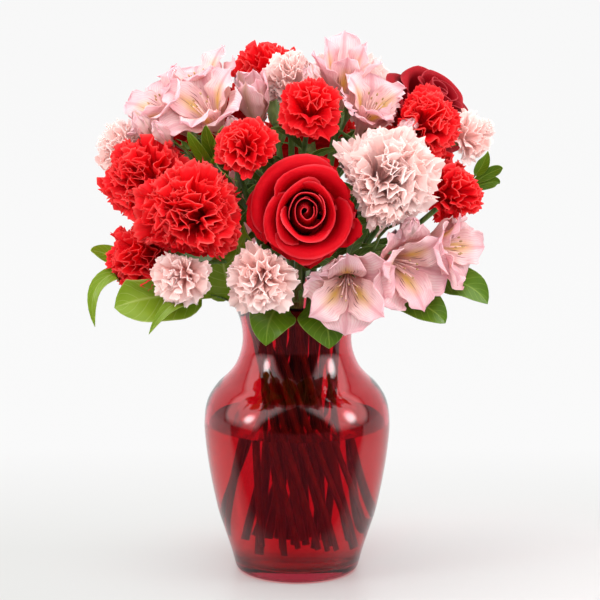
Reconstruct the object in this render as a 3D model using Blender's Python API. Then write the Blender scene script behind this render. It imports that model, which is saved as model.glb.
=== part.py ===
"""A mixed bouquet in a ruby glass vase, with one object for each piece.

The origin is the centre of the vase's foot, +Z is up and -Y is the front. Lengths are in millimetres
and angles in degrees until as_mesh() turns a finished shape to metres.

Each flower head is drawn about its own axis and carried to its place in the dome of flowers. Heads that
press on each other bend back from the plane between them. Every stem is a straight stick below the
vase's neck, slanted past its neighbours as in a hand-tied spiral, and a free curve above it.
"""

import math
import random
from collections import namedtuple

import bmesh
import bpy
import numpy as np
from mathutils import Matrix, Vector

MM = 0.001
SEED = 85

# The vase, as radius and height of its outside from the foot to the rim.
VASE_OUTLINE = (
    (40.5, 0.0),
    (46.2, 12.0),
    (52.0, 31.0),
    (61.6, 70.0),
    (65.4, 108.0),
    (57.5, 132.5),
    (43.7, 148.0),
    (38.3, 166.0),
    (42.3, 187.0),
    (52.0, 200.0),
)
GLASS_WALL = 3.0
GLASS_FLOOR = 8.0
FLOOR_FILLET = 3.0
WATER_LEVEL = 108.0
VASE_SIDES = 24
FIT_GAP = 0.3
HOLE_GAP = 0.4

# How the stems stand: side by side in the neck, and turned and spread towards the foot.
NECK_HEIGHT = 167.0
NECK_ROOM = 29.5
NECK_SPACING = 9.2
SPIRAL_TURN = 82.0
SPIRAL_SPREAD = 1.6
SPIRAL_DROP = 155.0
STEM_ENDS = (16.0, 34.0)
GLASS_CLEARANCE = 1.5
STRAIGHT_ABOVE_WATER = 12.0

# How the stems run above the neck.
ROUTE_POINTS = 30
ROUTE_ROUNDS = 160
ROUTE_SPACING = 1.7
RIM_HEIGHT = 207.0
STEM_SIDES = 5
STEM_BENDS = 5
STALK_BENDS = 3

PETAL = 0.8
LEAF_BLADE = 0.8
LEAF_STALK = 2.2
PRESS_START = 5.0
PRESS_LEFT = 0.8

# What each kind of flower is like: the calyx's length, its mouth's radius, the depth of the petals' base
# under the head's centre as a share of the head's radius, and the stem's radius.
Kind = namedtuple("Kind", "calyx mouth depth stem")
ROSE = Kind(calyx=9.0, mouth=7.0, depth=0.58, stem=2.9)
CARNATION = Kind(calyx=18.0, mouth=6.8, depth=0.50, stem=2.2)
SPRAY = Kind(calyx=13.0, mouth=4.6, depth=0.55, stem=1.8)
LILY = Kind(calyx=8.0, mouth=2.8, depth=0.85, stem=2.3)
GREEN = Kind(calyx=0.0, mouth=0.0, depth=0.0, stem=1.9)

# A head: the centre of its petals, the way it faces (azimuth 0 is the front and 90 the right, tilt is
# the angle above level) and its radius.
Head = namedtuple("Head", "centre azimuth tilt radius")

# A leaf: where it leaves its stem (0 is the neck, 1 the stem's tip), the middle and the tip of its
# midrib, its width, and the way that its upper face looks.
Leaf = namedtuple("Leaf", "along middle tip width faces")

# A plant is one cut stem with what grows on it. A leafy stem ends at its tip.
Plant = namedtuple("Plant", "name kind colour heads leaves tip", defaults=((), None))

RED = "carnation_red"
PINK = "carnation_pink"
UP = (0, 0, 1)

PLANTS = (
    Plant("rose_front", ROSE, "rose_red", [Head((5, -84, 273), 2, 14, 46)]),
    Plant("rose_right", ROSE, "rose_red", [Head((88, 20, 326), 62, 48, 35)]),
    Plant("rose_back", ROSE, "rose_red", [Head((-54, 64, 304), -145, 36, 39)]),
    Plant("carnation_left", CARNATION, RED, [Head((-98, -42, 286), -62, 25, 31)]),
    Plant("carnation_near_left", CARNATION, RED, [Head((-68, -80, 269), -32, 16, 38)]),
    Plant("carnation_low_left", CARNATION, RED, [Head((-99, -46, 235), -60, -8, 27)]),
    Plant("carnation_top", CARNATION, RED, [Head((-19, 40, 342), -165, 60, 27)]),
    Plant("carnation_right", CARNATION, RED, [Head((84, -34, 323), 42, 35, 26)]),
    Plant("carnation_back", CARNATION, RED, [Head((8, 84, 296), 178, 26, 35)]),
    Plant("carnation_back_right", CARNATION, RED, [Head((74, 66, 280), 130, 20, 33)]),
    Plant("carnation_pale_front", CARNATION, PINK, [Head((58, -72, 293), 30, 30, 36)]),
    Plant("carnation_pale_top", CARNATION, PINK, [Head((-4, -8, 345), 0, 72, 23)]),
    Plant("carnation_pale_left", CARNATION, PINK, [Head((-116, 2, 299), -92, 20, 22)]),
    Plant("carnation_pale_back", CARNATION, PINK, [Head((36, 52, 332), 150, 56, 29)]),
    Plant("carnation_pale_low", CARNATION, PINK, [Head((-86, 40, 257), -115, 10, 30)]),
    Plant(
        "spray_red_left",
        SPRAY,
        RED,
        [Head((9, -54, 336), 8, 45, 22), Head((-34, -72, 314), -12, 36, 21)],
    ),
    Plant(
        "spray_red_right",
        SPRAY,
        RED,
        [Head((103, -42, 277), 60, 8, 22), Head((100, 22, 268), 98, 6, 23)],
    ),
    Plant(
        "spray_pale_low",
        SPRAY,
        PINK,
        [Head((-23, -94, 232), -8, -14, 25), Head((-76, -92, 232), -34, -8, 20)],
    ),
    Plant(
        "spray_pale_right",
        SPRAY,
        PINK,
        [Head((116, -8, 312), 78, 18, 18), Head((46, 92, 238), 158, 0, 23)],
    ),
    Plant(
        "lily_top_left",
        LILY,
        "lily_pink",
        [
            Head((-93, -12, 331), -75, 42, 29),
            Head((-62, -34, 335), -38, 50, 30),
            Head((-66, 4, 346), -70, 66, 28),
        ],
    ),
    Plant("lily_top_centre", LILY, "lily_pink", [Head((-29, -22, 337), -20, 64, 20)]),
    Plant(
        "lily_top_right",
        LILY,
        "lily_pink",
        [Head((32, -4, 354), 20, 72, 28), Head((51, -31, 335), 40, 54, 28)],
    ),
    Plant(
        "lily_low_right",
        LILY,
        "lily_pink",
        [Head((34, -90, 224), 0, -8, 30), Head((72, -81, 236), 33, -4, 30), Head((102, -56, 244), 66, 2, 29)],
    ),
    Plant(
        "lily_back",
        LILY,
        "lily_pink",
        [Head((-3, 95, 234), 180, -6, 30), Head((-41, 85, 245), -154, 4, 29)],
    ),
    Plant(
        "salal_left",
        GREEN,
        "leaf_green",
        [],
        [
            Leaf(0.80, (-92, -72, 216), (-126, -78, 208), 30, (0, -0.5, 1)),
            Leaf(0.92, (-112, -48, 208), (-136, -56, 192), 15, (-0.2, -0.3, 1)),
            Leaf(0.86, (-84, -72, 200), (-100, -80, 187), 16, (0, -0.6, 1)),
            Leaf(1.0, (-116, -22, 226), (-134, -28, 237), 14, (0.3, -0.3, 1)),
        ],
        (-76, -30, 211),
    ),
    Plant(
        "salal_centre",
        GREEN,
        "leaf_green",
        [],
        [
            Leaf(0.80, (-15, -68, 202), (-21, -78, 180), 26, (0, -1, 0.6)),
            Leaf(0.97, (17, -68, 201), (22, -78, 178), 28, (0, -1, 0.6)),
        ],
        (3, -46, 212),
    ),
    Plant(
        "salal_right",
        GREEN,
        "leaf_green",
        [],
        [
            Leaf(0.80, (80, -56, 206), (100, -66, 194), 20, (0.2, -0.6, 1)),
            Leaf(0.97, (108, -36, 213), (130, -42, 201), 19, (0.3, -0.3, 1)),
        ],
        (76, -26, 213),
    ),
    Plant(
        "salal_back",
        GREEN,
        "leaf_green",
        [],
        [
            Leaf(0.78, (-60, 58, 210), (-94, 70, 198), 30, (-0.2, 0.4, 1)),
            Leaf(0.90, (2, 84, 200), (4, 110, 186), 28, (0, 0.6, 1)),
            Leaf(0.97, (56, 70, 209), (88, 90, 196), 30, (0.2, 0.4, 1)),
        ],
        (-10, 46, 210),
    ),
    Plant(
        "salal_upper",
        GREEN,
        "leaf_green",
        [],
        [Leaf(0.97, (-60, -58, 310), (-66, -66, 328), 20, (-0.2, -1, 0.3))],
        (-50, -42, 290),
    ),
    Plant(
        "sprig_right",
        GREEN,
        "leaf_green",
        [],
        [
            Leaf(0.97, (131, -9, 291), (139, -10, 301), 11, (0.2, -1, 0.3)),
            Leaf(0.90, (131, -9, 279), (142, -10, 277), 12, (0.2, -1, 0.5)),
        ],
        (122, -8, 283),
    ),
)

# Each layer of a carnation's frill: its lean from the head's axis and its reach as a share of the radius.
Layer = namedtuple("Layer", "lean reach")
CARNATION_LAYERS = (Layer(103, 1.0), Layer(68, 1.0), Layer(35, 0.94))
SPRAY_LAYERS = (Layer(98, 1.0), Layer(52, 0.97))
CARNATION_TEETH = 13
SPRAY_TEETH = 11
FRILL_EDGE = 0.9

# Each whorl of a rose: how many petals it has, half the angle that each wraps, the radius and height of
# the petals' middle and of their edge as shares of the head's radius, and where the first one starts.
Whorl = namedtuple("Whorl", "petals wrap middle edge start")
ROSE_WHORLS = (
    Whorl(3, 54, (0.38, -0.02), (0.32, 0.44), 10),
    Whorl(3, 56, (0.62, -0.06), (0.66, 0.34), 50),
    Whorl(5, 34, (0.80, -0.16), (1.0, 0.10), 5),
)

# The two whorls of a lily's tepals, as radius, height and half width along each midrib.
LILY_WHORLS = (
    ((0.02, -0.50, 0.04), (0.62, 0.0, 0.33), (1.02, 0.02, 0.0)),
    ((0.02, -0.44, 0.04), (0.32, 0.12, 0.22), (0.78, 0.44, 0.0)),
)

COLOURS = {
    "glass_ruby": ((0.55, 0.01, 0.03, 1.0), 0.05),
    "water": ((0.55, 0.03, 0.05, 1.0), 0.05),
    "rose_red": ((0.45, 0.0, 0.01, 1.0), 0.55),
    "carnation_red": ((0.72, 0.01, 0.03, 1.0), 0.65),
    "carnation_pink": ((0.92, 0.62, 0.68, 1.0), 0.65),
    "lily_pink": ((0.90, 0.55, 0.64, 1.0), 0.50),
    "stem_green": ((0.16, 0.33, 0.08, 1.0), 0.50),
    "leaf_green": ((0.06, 0.25, 0.05, 1.0), 0.35),
}


def clear_scene():
    """Take out whatever the file held."""
    for thing in list(bpy.data.objects):
        bpy.data.objects.remove(thing, do_unlink=True)


def material(name):
    """The piece's own colour and roughness."""
    found = bpy.data.materials.get(name)
    if found:
        return found
    made = bpy.data.materials.new(name)
    made.use_nodes = True
    colour, roughness = COLOURS[name]
    surface = made.node_tree.nodes["Principled BSDF"]
    surface.inputs["Base Color"].default_value = colour
    surface.inputs["Roughness"].default_value = roughness
    surface.inputs["Metallic"].default_value = 0.0
    return made


def facing(head):
    """The unit vector along a head's axis."""
    azimuth = math.radians(head.azimuth)
    tilt = math.radians(head.tilt)
    return Vector((math.sin(azimuth) * math.cos(tilt), -math.cos(azimuth) * math.cos(tilt), math.sin(tilt)))


def standing(head):
    """The matrix that carries a shape drawn about +Z to a head's place."""
    axis = facing(head)
    across = Vector(UP).cross(axis).normalized()
    turn = Matrix((across, axis.cross(across), axis)).transposed()
    return Matrix.Translation(head.centre) @ turn.to_4x4()


def radius_at(height):
    """The vase's outer radius at a height."""
    for (low_radius, low), (high_radius, high) in zip(VASE_OUTLINE, VASE_OUTLINE[1:]):
        if height <= high:
            return low_radius + (high_radius - low_radius) * (height - low) / (high - low)
    return VASE_OUTLINE[-1][0]


def room_at(height):
    """The radius inside the glass at a height, on a flat of its facets."""
    return (radius_at(height) - GLASS_WALL) * math.cos(math.pi / VASE_SIDES)


def turned(profile, sides, place=None):
    """A solid of revolution, closed at both ends, from radius and height pairs from the bottom up."""
    shape = bmesh.new()
    rings = []
    for radius, height in profile:
        ring = []
        for step in range(sides):
            angle = 2 * math.pi * step / sides
            ring.append(shape.verts.new((radius * math.cos(angle), radius * math.sin(angle), height)))
        rings.append(ring)
    bridge(shape, rings)
    if place:
        bmesh.ops.transform(shape, matrix=place, verts=shape.verts)
    return shape


def bridge(shape, rings):
    """Close a row of rings into a solid, with a flat cap on each end."""
    for low, high in zip(rings, rings[1:]):
        for step in range(len(low)):
            after = (step + 1) % len(low)
            shape.faces.new((low[step], low[after], high[after], high[step]))
    shape.faces.new(reversed(rings[0]))
    shape.faces.new(rings[-1])


def rod(points, radii, sides=STEM_SIDES):
    """A stick along a row of points, with its own radius at each."""
    shape = bmesh.new()
    ways = [(after - before).normalized() for before, after in zip(points, points[1:])]
    ways = [ways[0]] + ways + [ways[-1]]
    side = ways[0].cross(Vector((0.3, 1.0, 0.1))).normalized()
    rings = []
    for index, (point, radius) in enumerate(zip(points, radii)):
        way = (ways[index] + ways[index + 1]).normalized()
        side = (side - way * side.dot(way)).normalized()
        other = way.cross(side)
        ring = []
        for step in range(sides):
            angle = 2 * math.pi * step / sides
            ring.append(shape.verts.new(point + (side * math.cos(angle) + other * math.sin(angle)) * radius))
        rings.append(ring)
    bridge(shape, rings)
    return shape


def blade(points, triangles, halves):
    """A closed slab around a surface of triangles, split alike on both faces."""
    normals = [Vector() for _ in points]
    borders = {}
    for corners in triangles:
        first, second, third = (points[corner] for corner in corners)
        for corner in corners:
            normals[corner] += (second - first).cross(third - first)
        for start, end in zip(corners, corners[1:] + corners[:1]):
            borders[(start, end)] = (end, start)
    shape = bmesh.new()
    upper = [shape.verts.new(p + n.normalized() * half) for p, n, half in zip(points, normals, halves)]
    lower = [shape.verts.new(p - n.normalized() * half) for p, n, half in zip(points, normals, halves)]
    for a, b, c in triangles:
        shape.faces.new((upper[a], upper[b], upper[c]))
        shape.faces.new((lower[c], lower[b], lower[a]))
    for (a, b), back in borders.items():
        if back not in borders:
            shape.faces.new((upper[b], upper[a], lower[a]))
            shape.faces.new((upper[b], lower[a], lower[b]))
    return shape


def grid_triangles(rows):
    """The triangles between rows of points, where a row may narrow to a single point."""
    triangles = []
    start = 0
    for count, following in zip(rows, rows[1:]):
        after = start + count
        for step in range(max(count, following) - 1):
            near = start + min(step, count - 1)
            near_next = start + min(step + 1, count - 1)
            far = after + min(step, following - 1)
            far_next = after + min(step + 1, following - 1)
            if near != near_next:
                triangles.append((near, near_next, far_next))
            if far != far_next:
                triangles.append((near, far_next, far))
        start = after
    return triangles


def as_mesh(name, shape):
    """The shape as a mesh in metres, all in triangles."""
    bmesh.ops.scale(shape, vec=(MM, MM, MM), verts=shape.verts)
    bmesh.ops.triangulate(shape, faces=shape.faces)
    bmesh.ops.recalc_face_normals(shape, faces=shape.faces)
    mesh = bpy.data.meshes.new(name)
    shape.to_mesh(mesh)
    shape.free()
    return mesh


def shell_volume(faces):
    """Six times the volume that a closed shell of triangles holds."""
    total = 0.0
    for face in faces:
        first, second, third = (corner.co for corner in face.verts)
        total += first.dot(second.cross(third))
    return total


def keep_body(mesh):
    """Fill the seams that joining closed and drop its loose scraps: only the largest shell stays."""
    shape = bmesh.new()
    shape.from_mesh(mesh)
    bmesh.ops.triangulate(shape, faces=shape.faces)
    waiting = set(shape.faces)
    shells = []
    while waiting:
        edge_faces = [waiting.pop()]
        shell = []
        while edge_faces:
            face = edge_faces.pop()
            shell.append(face)
            for edge in face.edges:
                for neighbour in edge.link_faces:
                    if neighbour in waiting:
                        waiting.remove(neighbour)
                        edge_faces.append(neighbour)
        shells.append(shell)
    shells.sort(key=shell_volume)
    for shell in shells[:-1]:
        bmesh.ops.delete(shape, geom=shell, context="FACES")
    shape.to_mesh(mesh)
    shape.free()


def combine(body, meshes, operation):
    """Join a collection of meshes to a body, or cut them out of it, in one Boolean."""
    group = bpy.data.collections.new(body.name + "_pieces")
    bpy.context.scene.collection.children.link(group)
    for mesh in meshes:
        group.objects.link(bpy.data.objects.new(mesh.name, mesh))
    step = body.modifiers.new(operation.lower(), "BOOLEAN")
    step.operation = operation
    step.solver = "EXACT"
    step.operand_type = "COLLECTION"
    step.collection = group
    bpy.context.view_layer.update()
    evaluated = body.evaluated_get(bpy.context.evaluated_depsgraph_get())
    whole = bpy.data.meshes.new_from_object(evaluated)
    body.modifiers.clear()
    body.data = whole
    for helper in list(group.objects):
        bpy.data.objects.remove(helper, do_unlink=True)
    bpy.data.collections.remove(group)


def solid(name, colour, shapes, centre=(0, 0, 0)):
    """One named piece, joined from its shapes, with its origin at its own centre."""
    meshes = [as_mesh(name + "_shape", shape) for shape in shapes]
    body = bpy.data.objects.new(name, meshes[0])
    bpy.context.scene.collection.objects.link(body)
    if len(meshes) > 1:
        combine(body, meshes[1:], "UNION")
        keep_body(body.data)
    body.data.name = name
    body.data.materials.clear()
    body.data.materials.append(material(colour))
    place = Vector(centre) * MM
    body.data.transform(Matrix.Translation(-place))
    body.location = place
    body.parent = bpy.data.objects["bouquet"]
    return body


def press(point, head, others):
    """Bend a point of a head back from the planes between it and the heads that it presses on."""
    for other in others:
        apart = Vector(other.centre) - Vector(head.centre)
        gap = apart.length
        way = apart.normalized()
        plane = gap * head.radius / (head.radius + other.radius)
        left = plane - (point - Vector(head.centre)).dot(way)
        if left < PRESS_START:
            room = PRESS_START - PRESS_LEFT
            kept = PRESS_LEFT + room * math.exp((left - PRESS_START) / room)
            point = point + way * (left - kept)
    return point


def pressed_blade(points, triangles, head, others):
    """A petal drawn about +Z, carried to its head, bent clear of the others and given its thickness."""
    place = standing(head)
    placed = [press(place @ point, head, others) for point in points]
    return blade(placed, triangles, [PETAL / 2] * len(placed))


def pressed_core(profile, sides, head, others):
    """The middle of a head, with its flat base over the calyx."""
    shape = turned(profile, sides, standing(head))
    for corner in shape.verts:
        corner.co = press(corner.co.copy(), head, others)
    return shape


def carnation_shapes(head, kind, others, rng):
    """A ruffled head in one skin: layers of frill with toothed, waved edges and grooves between them."""
    size = head.radius
    layers = CARNATION_LAYERS if kind is CARNATION else SPRAY_LAYERS
    teeth = CARNATION_TEETH if kind is CARNATION else SPRAY_TEETH
    place = standing(head)
    shape = bmesh.new()

    def corner(number, lean, reach):
        turn = 2 * math.pi * number / teeth
        lean = math.radians(lean)
        way = Vector((math.sin(lean) * math.cos(turn), math.sin(lean) * math.sin(turn), math.cos(lean)))
        return press(place @ (way * reach * size), head, others)

    def even_ring(lean, reach):
        return [shape.verts.new(corner(number, lean, reach)) for number in range(teeth)]

    base = math.degrees(math.atan2(kind.mouth * 0.9, -kind.depth * size))
    rings = [even_ring(base, math.hypot(kind.mouth * 0.9 / size, kind.depth)), even_ring(124, 0.50)]
    for index, (layer, inner) in enumerate(zip(layers, layers[1:] + (Layer(0, 0),))):
        below = []
        above = []
        for number in range(teeth):
            cut = 0.84 if (number + index) % 2 else 1.0
            lean = layer.lean + (5 if (number + index) % 2 else -5) + rng.uniform(-4, 4)
            edge = corner(number, lean, layer.reach * cut * rng.uniform(0.92, 1.0))
            inward = corner(number, lean - 6, layer.reach * cut)
            over = (inward - edge).normalized() * (FRILL_EDGE / 2)
            below.append(shape.verts.new(edge - over))
            above.append(shape.verts.new(edge + over))
        rings += [below, above]
        if inner.reach:
            rings.append(even_ring((layer.lean + inner.lean) / 2, 0.52))
    rings.append(even_ring(layers[-1].lean * 0.4, 0.50))
    bridge(shape, rings)
    return [shape]


def rose_shapes(head, kind, others, rng):
    """A rose: a bud with whorls of cupped petals, each with one edge under its neighbour."""
    size = head.radius
    core = (
        (kind.mouth * 0.9, -kind.depth * size),
        (0.30 * size, -0.40 * size),
        (0.21 * size, -0.04 * size),
        (0.10 * size, 0.38 * size),
    )
    shapes = [pressed_core(core, 5, head, others)]
    for whorl in ROSE_WHORLS:
        for number in range(whorl.petals):
            turn = whorl.start + 360 * number / whorl.petals + rng.uniform(-4, 4)
            points = []
            for radius, height, wrap in ((0.10, -0.40, 0.6), (*whorl.middle, 0.92), (*whorl.edge, 1.0)):
                for column in range(3):
                    across = column - 1
                    angle = math.radians(turn + whorl.wrap * wrap * across)
                    lap = radius + (0.035 * across if wrap > 0.6 else 0.0)
                    drop = 0.10 * across * across if wrap == 1.0 else 0.0
                    point = Vector((lap * math.cos(angle), lap * math.sin(angle), height - drop))
                    points.append(point * size)
            shapes.append(pressed_blade(points, grid_triangles((3, 3, 3)), head, others))
    return shapes


def lily_shapes(head, kind, others, rng):
    """A lily of the Incas: a short throat with three broad tepals and three narrow ones between."""
    size = head.radius
    core = ((kind.mouth * 0.9, -kind.depth * size), (0.16 * size, -0.6 * size), (0.19 * size, -0.26 * size))
    shapes = [pressed_core(core, 5, head, others)]
    first = rng.uniform(0, 120)
    for number in range(6):
        turn = math.radians(first + 60 * number + rng.uniform(-4, 4))
        out = Vector((math.cos(turn), math.sin(turn), 0))
        side = Vector((-math.sin(turn), math.cos(turn), 0))
        points = []
        rows = []
        for radius, height, half in LILY_WHORLS[number % 2]:
            middle = out * radius + Vector((0, 0, height))
            if half == 0.0:
                row = [middle]
            elif half < 0.1:
                row = [middle - side * half, middle + side * half]
            else:
                edge = Vector((0, 0, 0.25 * half))
                row = [middle - side * half + edge, middle, middle + side * half + edge]
            rows.append(len(row))
            points.extend(point * size for point in row)
        shapes.append(pressed_blade(points, grid_triangles(rows), head, others))
    return shapes


def neck_places():
    """Where each stem passes the neck: under its flowers, the low ones outside, and none on another."""
    places = []
    for plant in PLANTS:
        goal = plant.tip or [sum(axis) / len(plant.heads) for axis in zip(*(h.centre for h in plant.heads))]
        away = math.hypot(goal[0], goal[1])
        out = NECK_ROOM * min(1.0, max(0.1, (365.0 - goal[2]) / 125.0))
        places.append((goal[0] / away * out, goal[1] / away * out))
    places = np.array(places)
    for _ in range(400):
        gaps = places[:, None] - places[None]
        apart = np.hypot(gaps[..., 0], gaps[..., 1]) + np.eye(len(places)) * 100
        short = np.clip(NECK_SPACING - apart, 0, None) / apart
        places = places + 0.25 * (gaps * short[..., None]).sum(axis=1)
        away = np.hypot(places[:, 0], places[:, 1])
        places *= np.minimum(1.0, NECK_ROOM / away)[:, None]
    return places


def stick_point(place, height):
    """The point of a slanted stick at a height: the sticks turn and spread as they go down."""
    down = (NECK_HEIGHT - height) / SPIRAL_DROP
    turn = math.radians(SPIRAL_TURN)
    along = 1 - down + SPIRAL_SPREAD * down * math.cos(turn)
    across = SPIRAL_SPREAD * down * math.sin(turn)
    return Vector((along * place[0] - across * place[1], across * place[0] + along * place[1], height))


def stick_end(place, radius, rng):
    """The foot of a stick: as deep as its cut end may go without touching the glass."""
    height = rng.uniform(*STEM_ENDS)
    while True:
        point = stick_point(place, height)
        if math.hypot(point.x, point.y) + radius + GLASS_CLEARANCE < room_at(height):
            return point
        height += 1.0


def first_route(start, way, end, axis):
    """An even curve from the neck to a calyx before it makes way for the others."""
    reach = (end - start).length
    knots = (start, start + way * 0.35 * reach, end - axis * 0.35 * reach, end)
    points = []
    for step in range(ROUTE_POINTS):
        t = step / (ROUTE_POINTS - 1)
        shares = ((1 - t) ** 3, 3 * t * (1 - t) ** 2, 3 * t * t * (1 - t), t ** 3)
        points.append(sum((knot * share for knot, share in zip(knots, shares)), Vector()))
    return points


Route = namedtuple("Route", "plant head points radii root")


def base_of(head, kind):
    """The foot of a head's calyx."""
    return Vector(head.centre) - facing(head) * (kind.depth * head.radius + FIT_GAP + kind.calyx)


def lay_routes(places):
    """The first course of every stem and side stalk above the neck."""
    routes = []
    for number, (plant, place) in enumerate(zip(PLANTS, places)):
        start = stick_point(place, NECK_HEIGHT)
        way = (start - stick_point(place, WATER_LEVEL)).normalized()
        if plant.tip:
            end = Vector(plant.tip)
            points = first_route(start, way, end, (end - start).normalized())
            routes.append(Route(number, None, points, [GREEN.stem] * ROUTE_POINTS, None))
        for index, head in enumerate(plant.heads):
            end = base_of(head, plant.kind)
            radii = [plant.kind.stem] * (ROUTE_POINTS - 3) + [plant.kind.stem + 1.0] * 2 + [plant.kind.mouth]
            if index == 0:
                main = len(routes)
                routes.append(Route(number, head, first_route(start, way, end, facing(head)), radii, None))
            else:
                fork = ROUTE_POINTS // 2
                stalk = routes[main].points
                points = first_route(stalk[fork], (stalk[fork + 1] - stalk[fork]).normalized(), end, facing(head))
                routes.append(Route(number, head, points, radii, (main, fork)))
    return routes


def relax_routes(routes):
    """Move the stems apart, and clear of the heads and the rim, while they stay even curves."""
    heads = [(n, head, plant.kind) for n, plant in enumerate(PLANTS) for head in plant.heads]
    centres = np.array([head.centre for _, head, _ in heads], float)
    axes = np.array([facing(head)[:] for _, head, _ in heads])
    sizes = np.array([head.radius for _, head, _ in heads], float)
    floors = np.array([-kind.depth * head.radius - 1.0 for _, head, kind in heads])
    points = np.array([[p[:] for p in route.points] for route in routes])
    radii = np.array([route.radii for route in routes], float)
    owners = np.repeat([route.plant for route in routes], ROUTE_POINTS)
    own_head = np.array([[route.head is head for _, head, _ in heads] for route in routes])
    own_head = np.repeat(own_head, ROUTE_POINTS, axis=0)
    fixed = points.copy()
    flat_radii = radii.reshape(-1)
    need = flat_radii[:, None] + flat_radii[None] + ROUTE_SPACING
    same = owners[:, None] == owners[None]
    reach = sizes[None] + flat_radii[:, None] + 1.2
    for _ in range(ROUTE_ROUNDS):
        smooth = (points[:, :-2] + points[:, 2:]) / 2 - points[:, 1:-1]
        points[:, 1:-1] += 0.3 * smooth
        flat = points.reshape(-1, 3)
        squares = (flat ** 2).sum(axis=1)
        apart = np.sqrt(np.clip(squares[:, None] + squares[None] - 2 * flat @ flat.T, 1e-6, None))
        short = np.where(same, 0.0, np.clip(need - apart, 0, None)) / apart
        push = flat * short.sum(axis=1)[:, None] - short @ flat
        flat = flat + 0.3 * push
        offsets = flat[:, None] - centres[None]
        away = np.linalg.norm(offsets, axis=2)
        ahead = np.einsum("ijk,jk->ij", offsets, axes) > floors[None]
        inside = np.where(own_head | ~ahead, 0.0, np.clip(reach - away, 0, None)) / np.maximum(away, 1e-6)
        flat = flat + 0.5 * (offsets * inside[..., None]).sum(axis=1)
        rooms = np.array([room_at(min(z, 200.0)) for z in flat[:, 2]]) - flat_radii - GLASS_CLEARANCE
        far = np.hypot(flat[:, 0], flat[:, 1])
        low = flat[:, 2] < RIM_HEIGHT
        squeeze = np.where(low & (far > rooms), rooms / np.maximum(far, 1e-6), 1.0)
        flat[:, :2] *= squeeze[:, None]
        points = flat.reshape(points.shape)
        points[:, 0] = fixed[:, 0]
        points[:, -1] = fixed[:, -1]
        for index, route in enumerate(routes):
            if route.root:
                points[index, 0] = points[route.root[0], route.root[1]]
            else:
                points[index, 1] = fixed[index, 1]
            if route.head:
                points[index, -2] = fixed[index, -2]
    return points


def stem_shapes(plant, number, place, routes, points, foot):
    """A cut stem from its foot to each calyx, with its side stalks rooted in it."""
    shapes = []
    for index, route in enumerate(routes):
        if route.plant != number:
            continue
        run = [Vector(point) for point in points[index]]
        bends = STALK_BENDS if route.root else STEM_BENDS
        course = [run[round(step * (ROUTE_POINTS - 1) / bends)] for step in range(bends + 1)]
        radii = [plant.kind.stem * (0.85 if route.root else 1.0)] * len(course)
        if not route.root:
            course = [foot, stick_point(place, WATER_LEVEL + STRAIGHT_ABOVE_WATER)] + course
            radii = [plant.kind.stem] * len(course)
        if route.head:
            axis = facing(route.head)
            course += [run[-1] + axis * plant.kind.calyx * 0.4, run[-1] + axis * plant.kind.calyx]
            radii += [plant.kind.mouth * 0.8, plant.kind.mouth]
        else:
            radii[-1] = plant.kind.stem * 0.6
        shapes.append(rod(course, radii))
    return shapes


def clear_of_heads(point, margin):
    """Bend a leaf's point out of the flower heads beside it."""
    for _ in range(3):
        for plant in PLANTS:
            for head in plant.heads:
                offset = point - Vector(head.centre)
                if offset.length < head.radius + margin:
                    point = Vector(head.centre) + offset.normalized() * (head.radius + margin)
    return point


def leaf_shape(leaf, run):
    """A leaf: a short stalk that widens to a folded blade with a notched, waved edge and a fine tip."""
    root = Vector(run[min(len(run) - 1, round(leaf.along * (len(run) - 1)))])
    tip = Vector(leaf.tip)
    bend = Vector(leaf.middle) * 2 - (root + tip) / 2
    stations = ((0.0, 0.0), (0.22, 0.0), (0.42, 0.88), (0.70, 0.84), (1.0, 0.0))
    points = []
    rows = []
    halves = []
    for number, (along, share) in enumerate(stations):
        middle = root * (1 - along) ** 2 + bend * 2 * along * (1 - along) + tip * along ** 2
        way = ((bend - root) * (1 - along) + (tip - bend) * along).normalized()
        side = way.cross(Vector(leaf.faces)).normalized()
        over = side.cross(way)
        half = max(LEAF_STALK / 2, share * leaf.width / 2)
        if along == 1.0:
            row = [middle]
        else:
            fold = over * (0.22 * half if share else 0.0)
            wave = over * (0.10 * half * (1 if number % 2 else -1) if share else 0.0)
            row = [middle - side * half + fold + wave, middle, middle + side * half + fold - wave]
        if share:
            row = [clear_of_heads(point, 1.6) for point in row]
        rows.append(len(row))
        points.extend(row)
        halves.extend([(LEAF_BLADE if along > 0.3 else LEAF_STALK) / 2] * len(row))
    return blade(points, grid_triangles(rows), halves)


def vase():
    """The blown glass: a round foot and belly, a narrow neck, a flared rim and a thick floor."""
    inside = [(radius - GLASS_WALL, height) for radius, height in VASE_OUTLINE if height > GLASS_FLOOR]
    inside.insert(0, (radius_at(GLASS_FLOOR) - GLASS_WALL - FLOOR_FILLET, GLASS_FLOOR))
    return solid("vase", "glass_ruby", [turned(list(VASE_OUTLINE) + inside[::-1], VASE_SIDES)])


def water(feet, places):
    """The water, with a hole around each stem that stands in it."""
    levels = [height for _, height in VASE_OUTLINE if GLASS_FLOOR + 2 < height < WATER_LEVEL - 2]
    profile = [(radius_at(GLASS_FLOOR) - GLASS_WALL - FLOOR_FILLET - FIT_GAP, GLASS_FLOOR + FIT_GAP)]
    profile += [(radius_at(height) - GLASS_WALL - FIT_GAP, height) for height in levels]
    profile += [(radius_at(WATER_LEVEL) - GLASS_WALL - FIT_GAP, WATER_LEVEL)]
    body = solid("water", "water", [turned(profile, VASE_SIDES)])
    cutters = []
    for plant, place, foot in zip(PLANTS, places, feet):
        top = stick_point(place, WATER_LEVEL + STRAIGHT_ABOVE_WATER)
        below = foot + (foot - top).normalized() * FIT_GAP
        radius = plant.kind.stem + HOLE_GAP
        cutters.append(as_mesh("hole", rod([below, top], [radius, radius])))
    combine(body, cutters, "DIFFERENCE")
    keep_body(body.data)
    body.data.name = "water"


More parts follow.
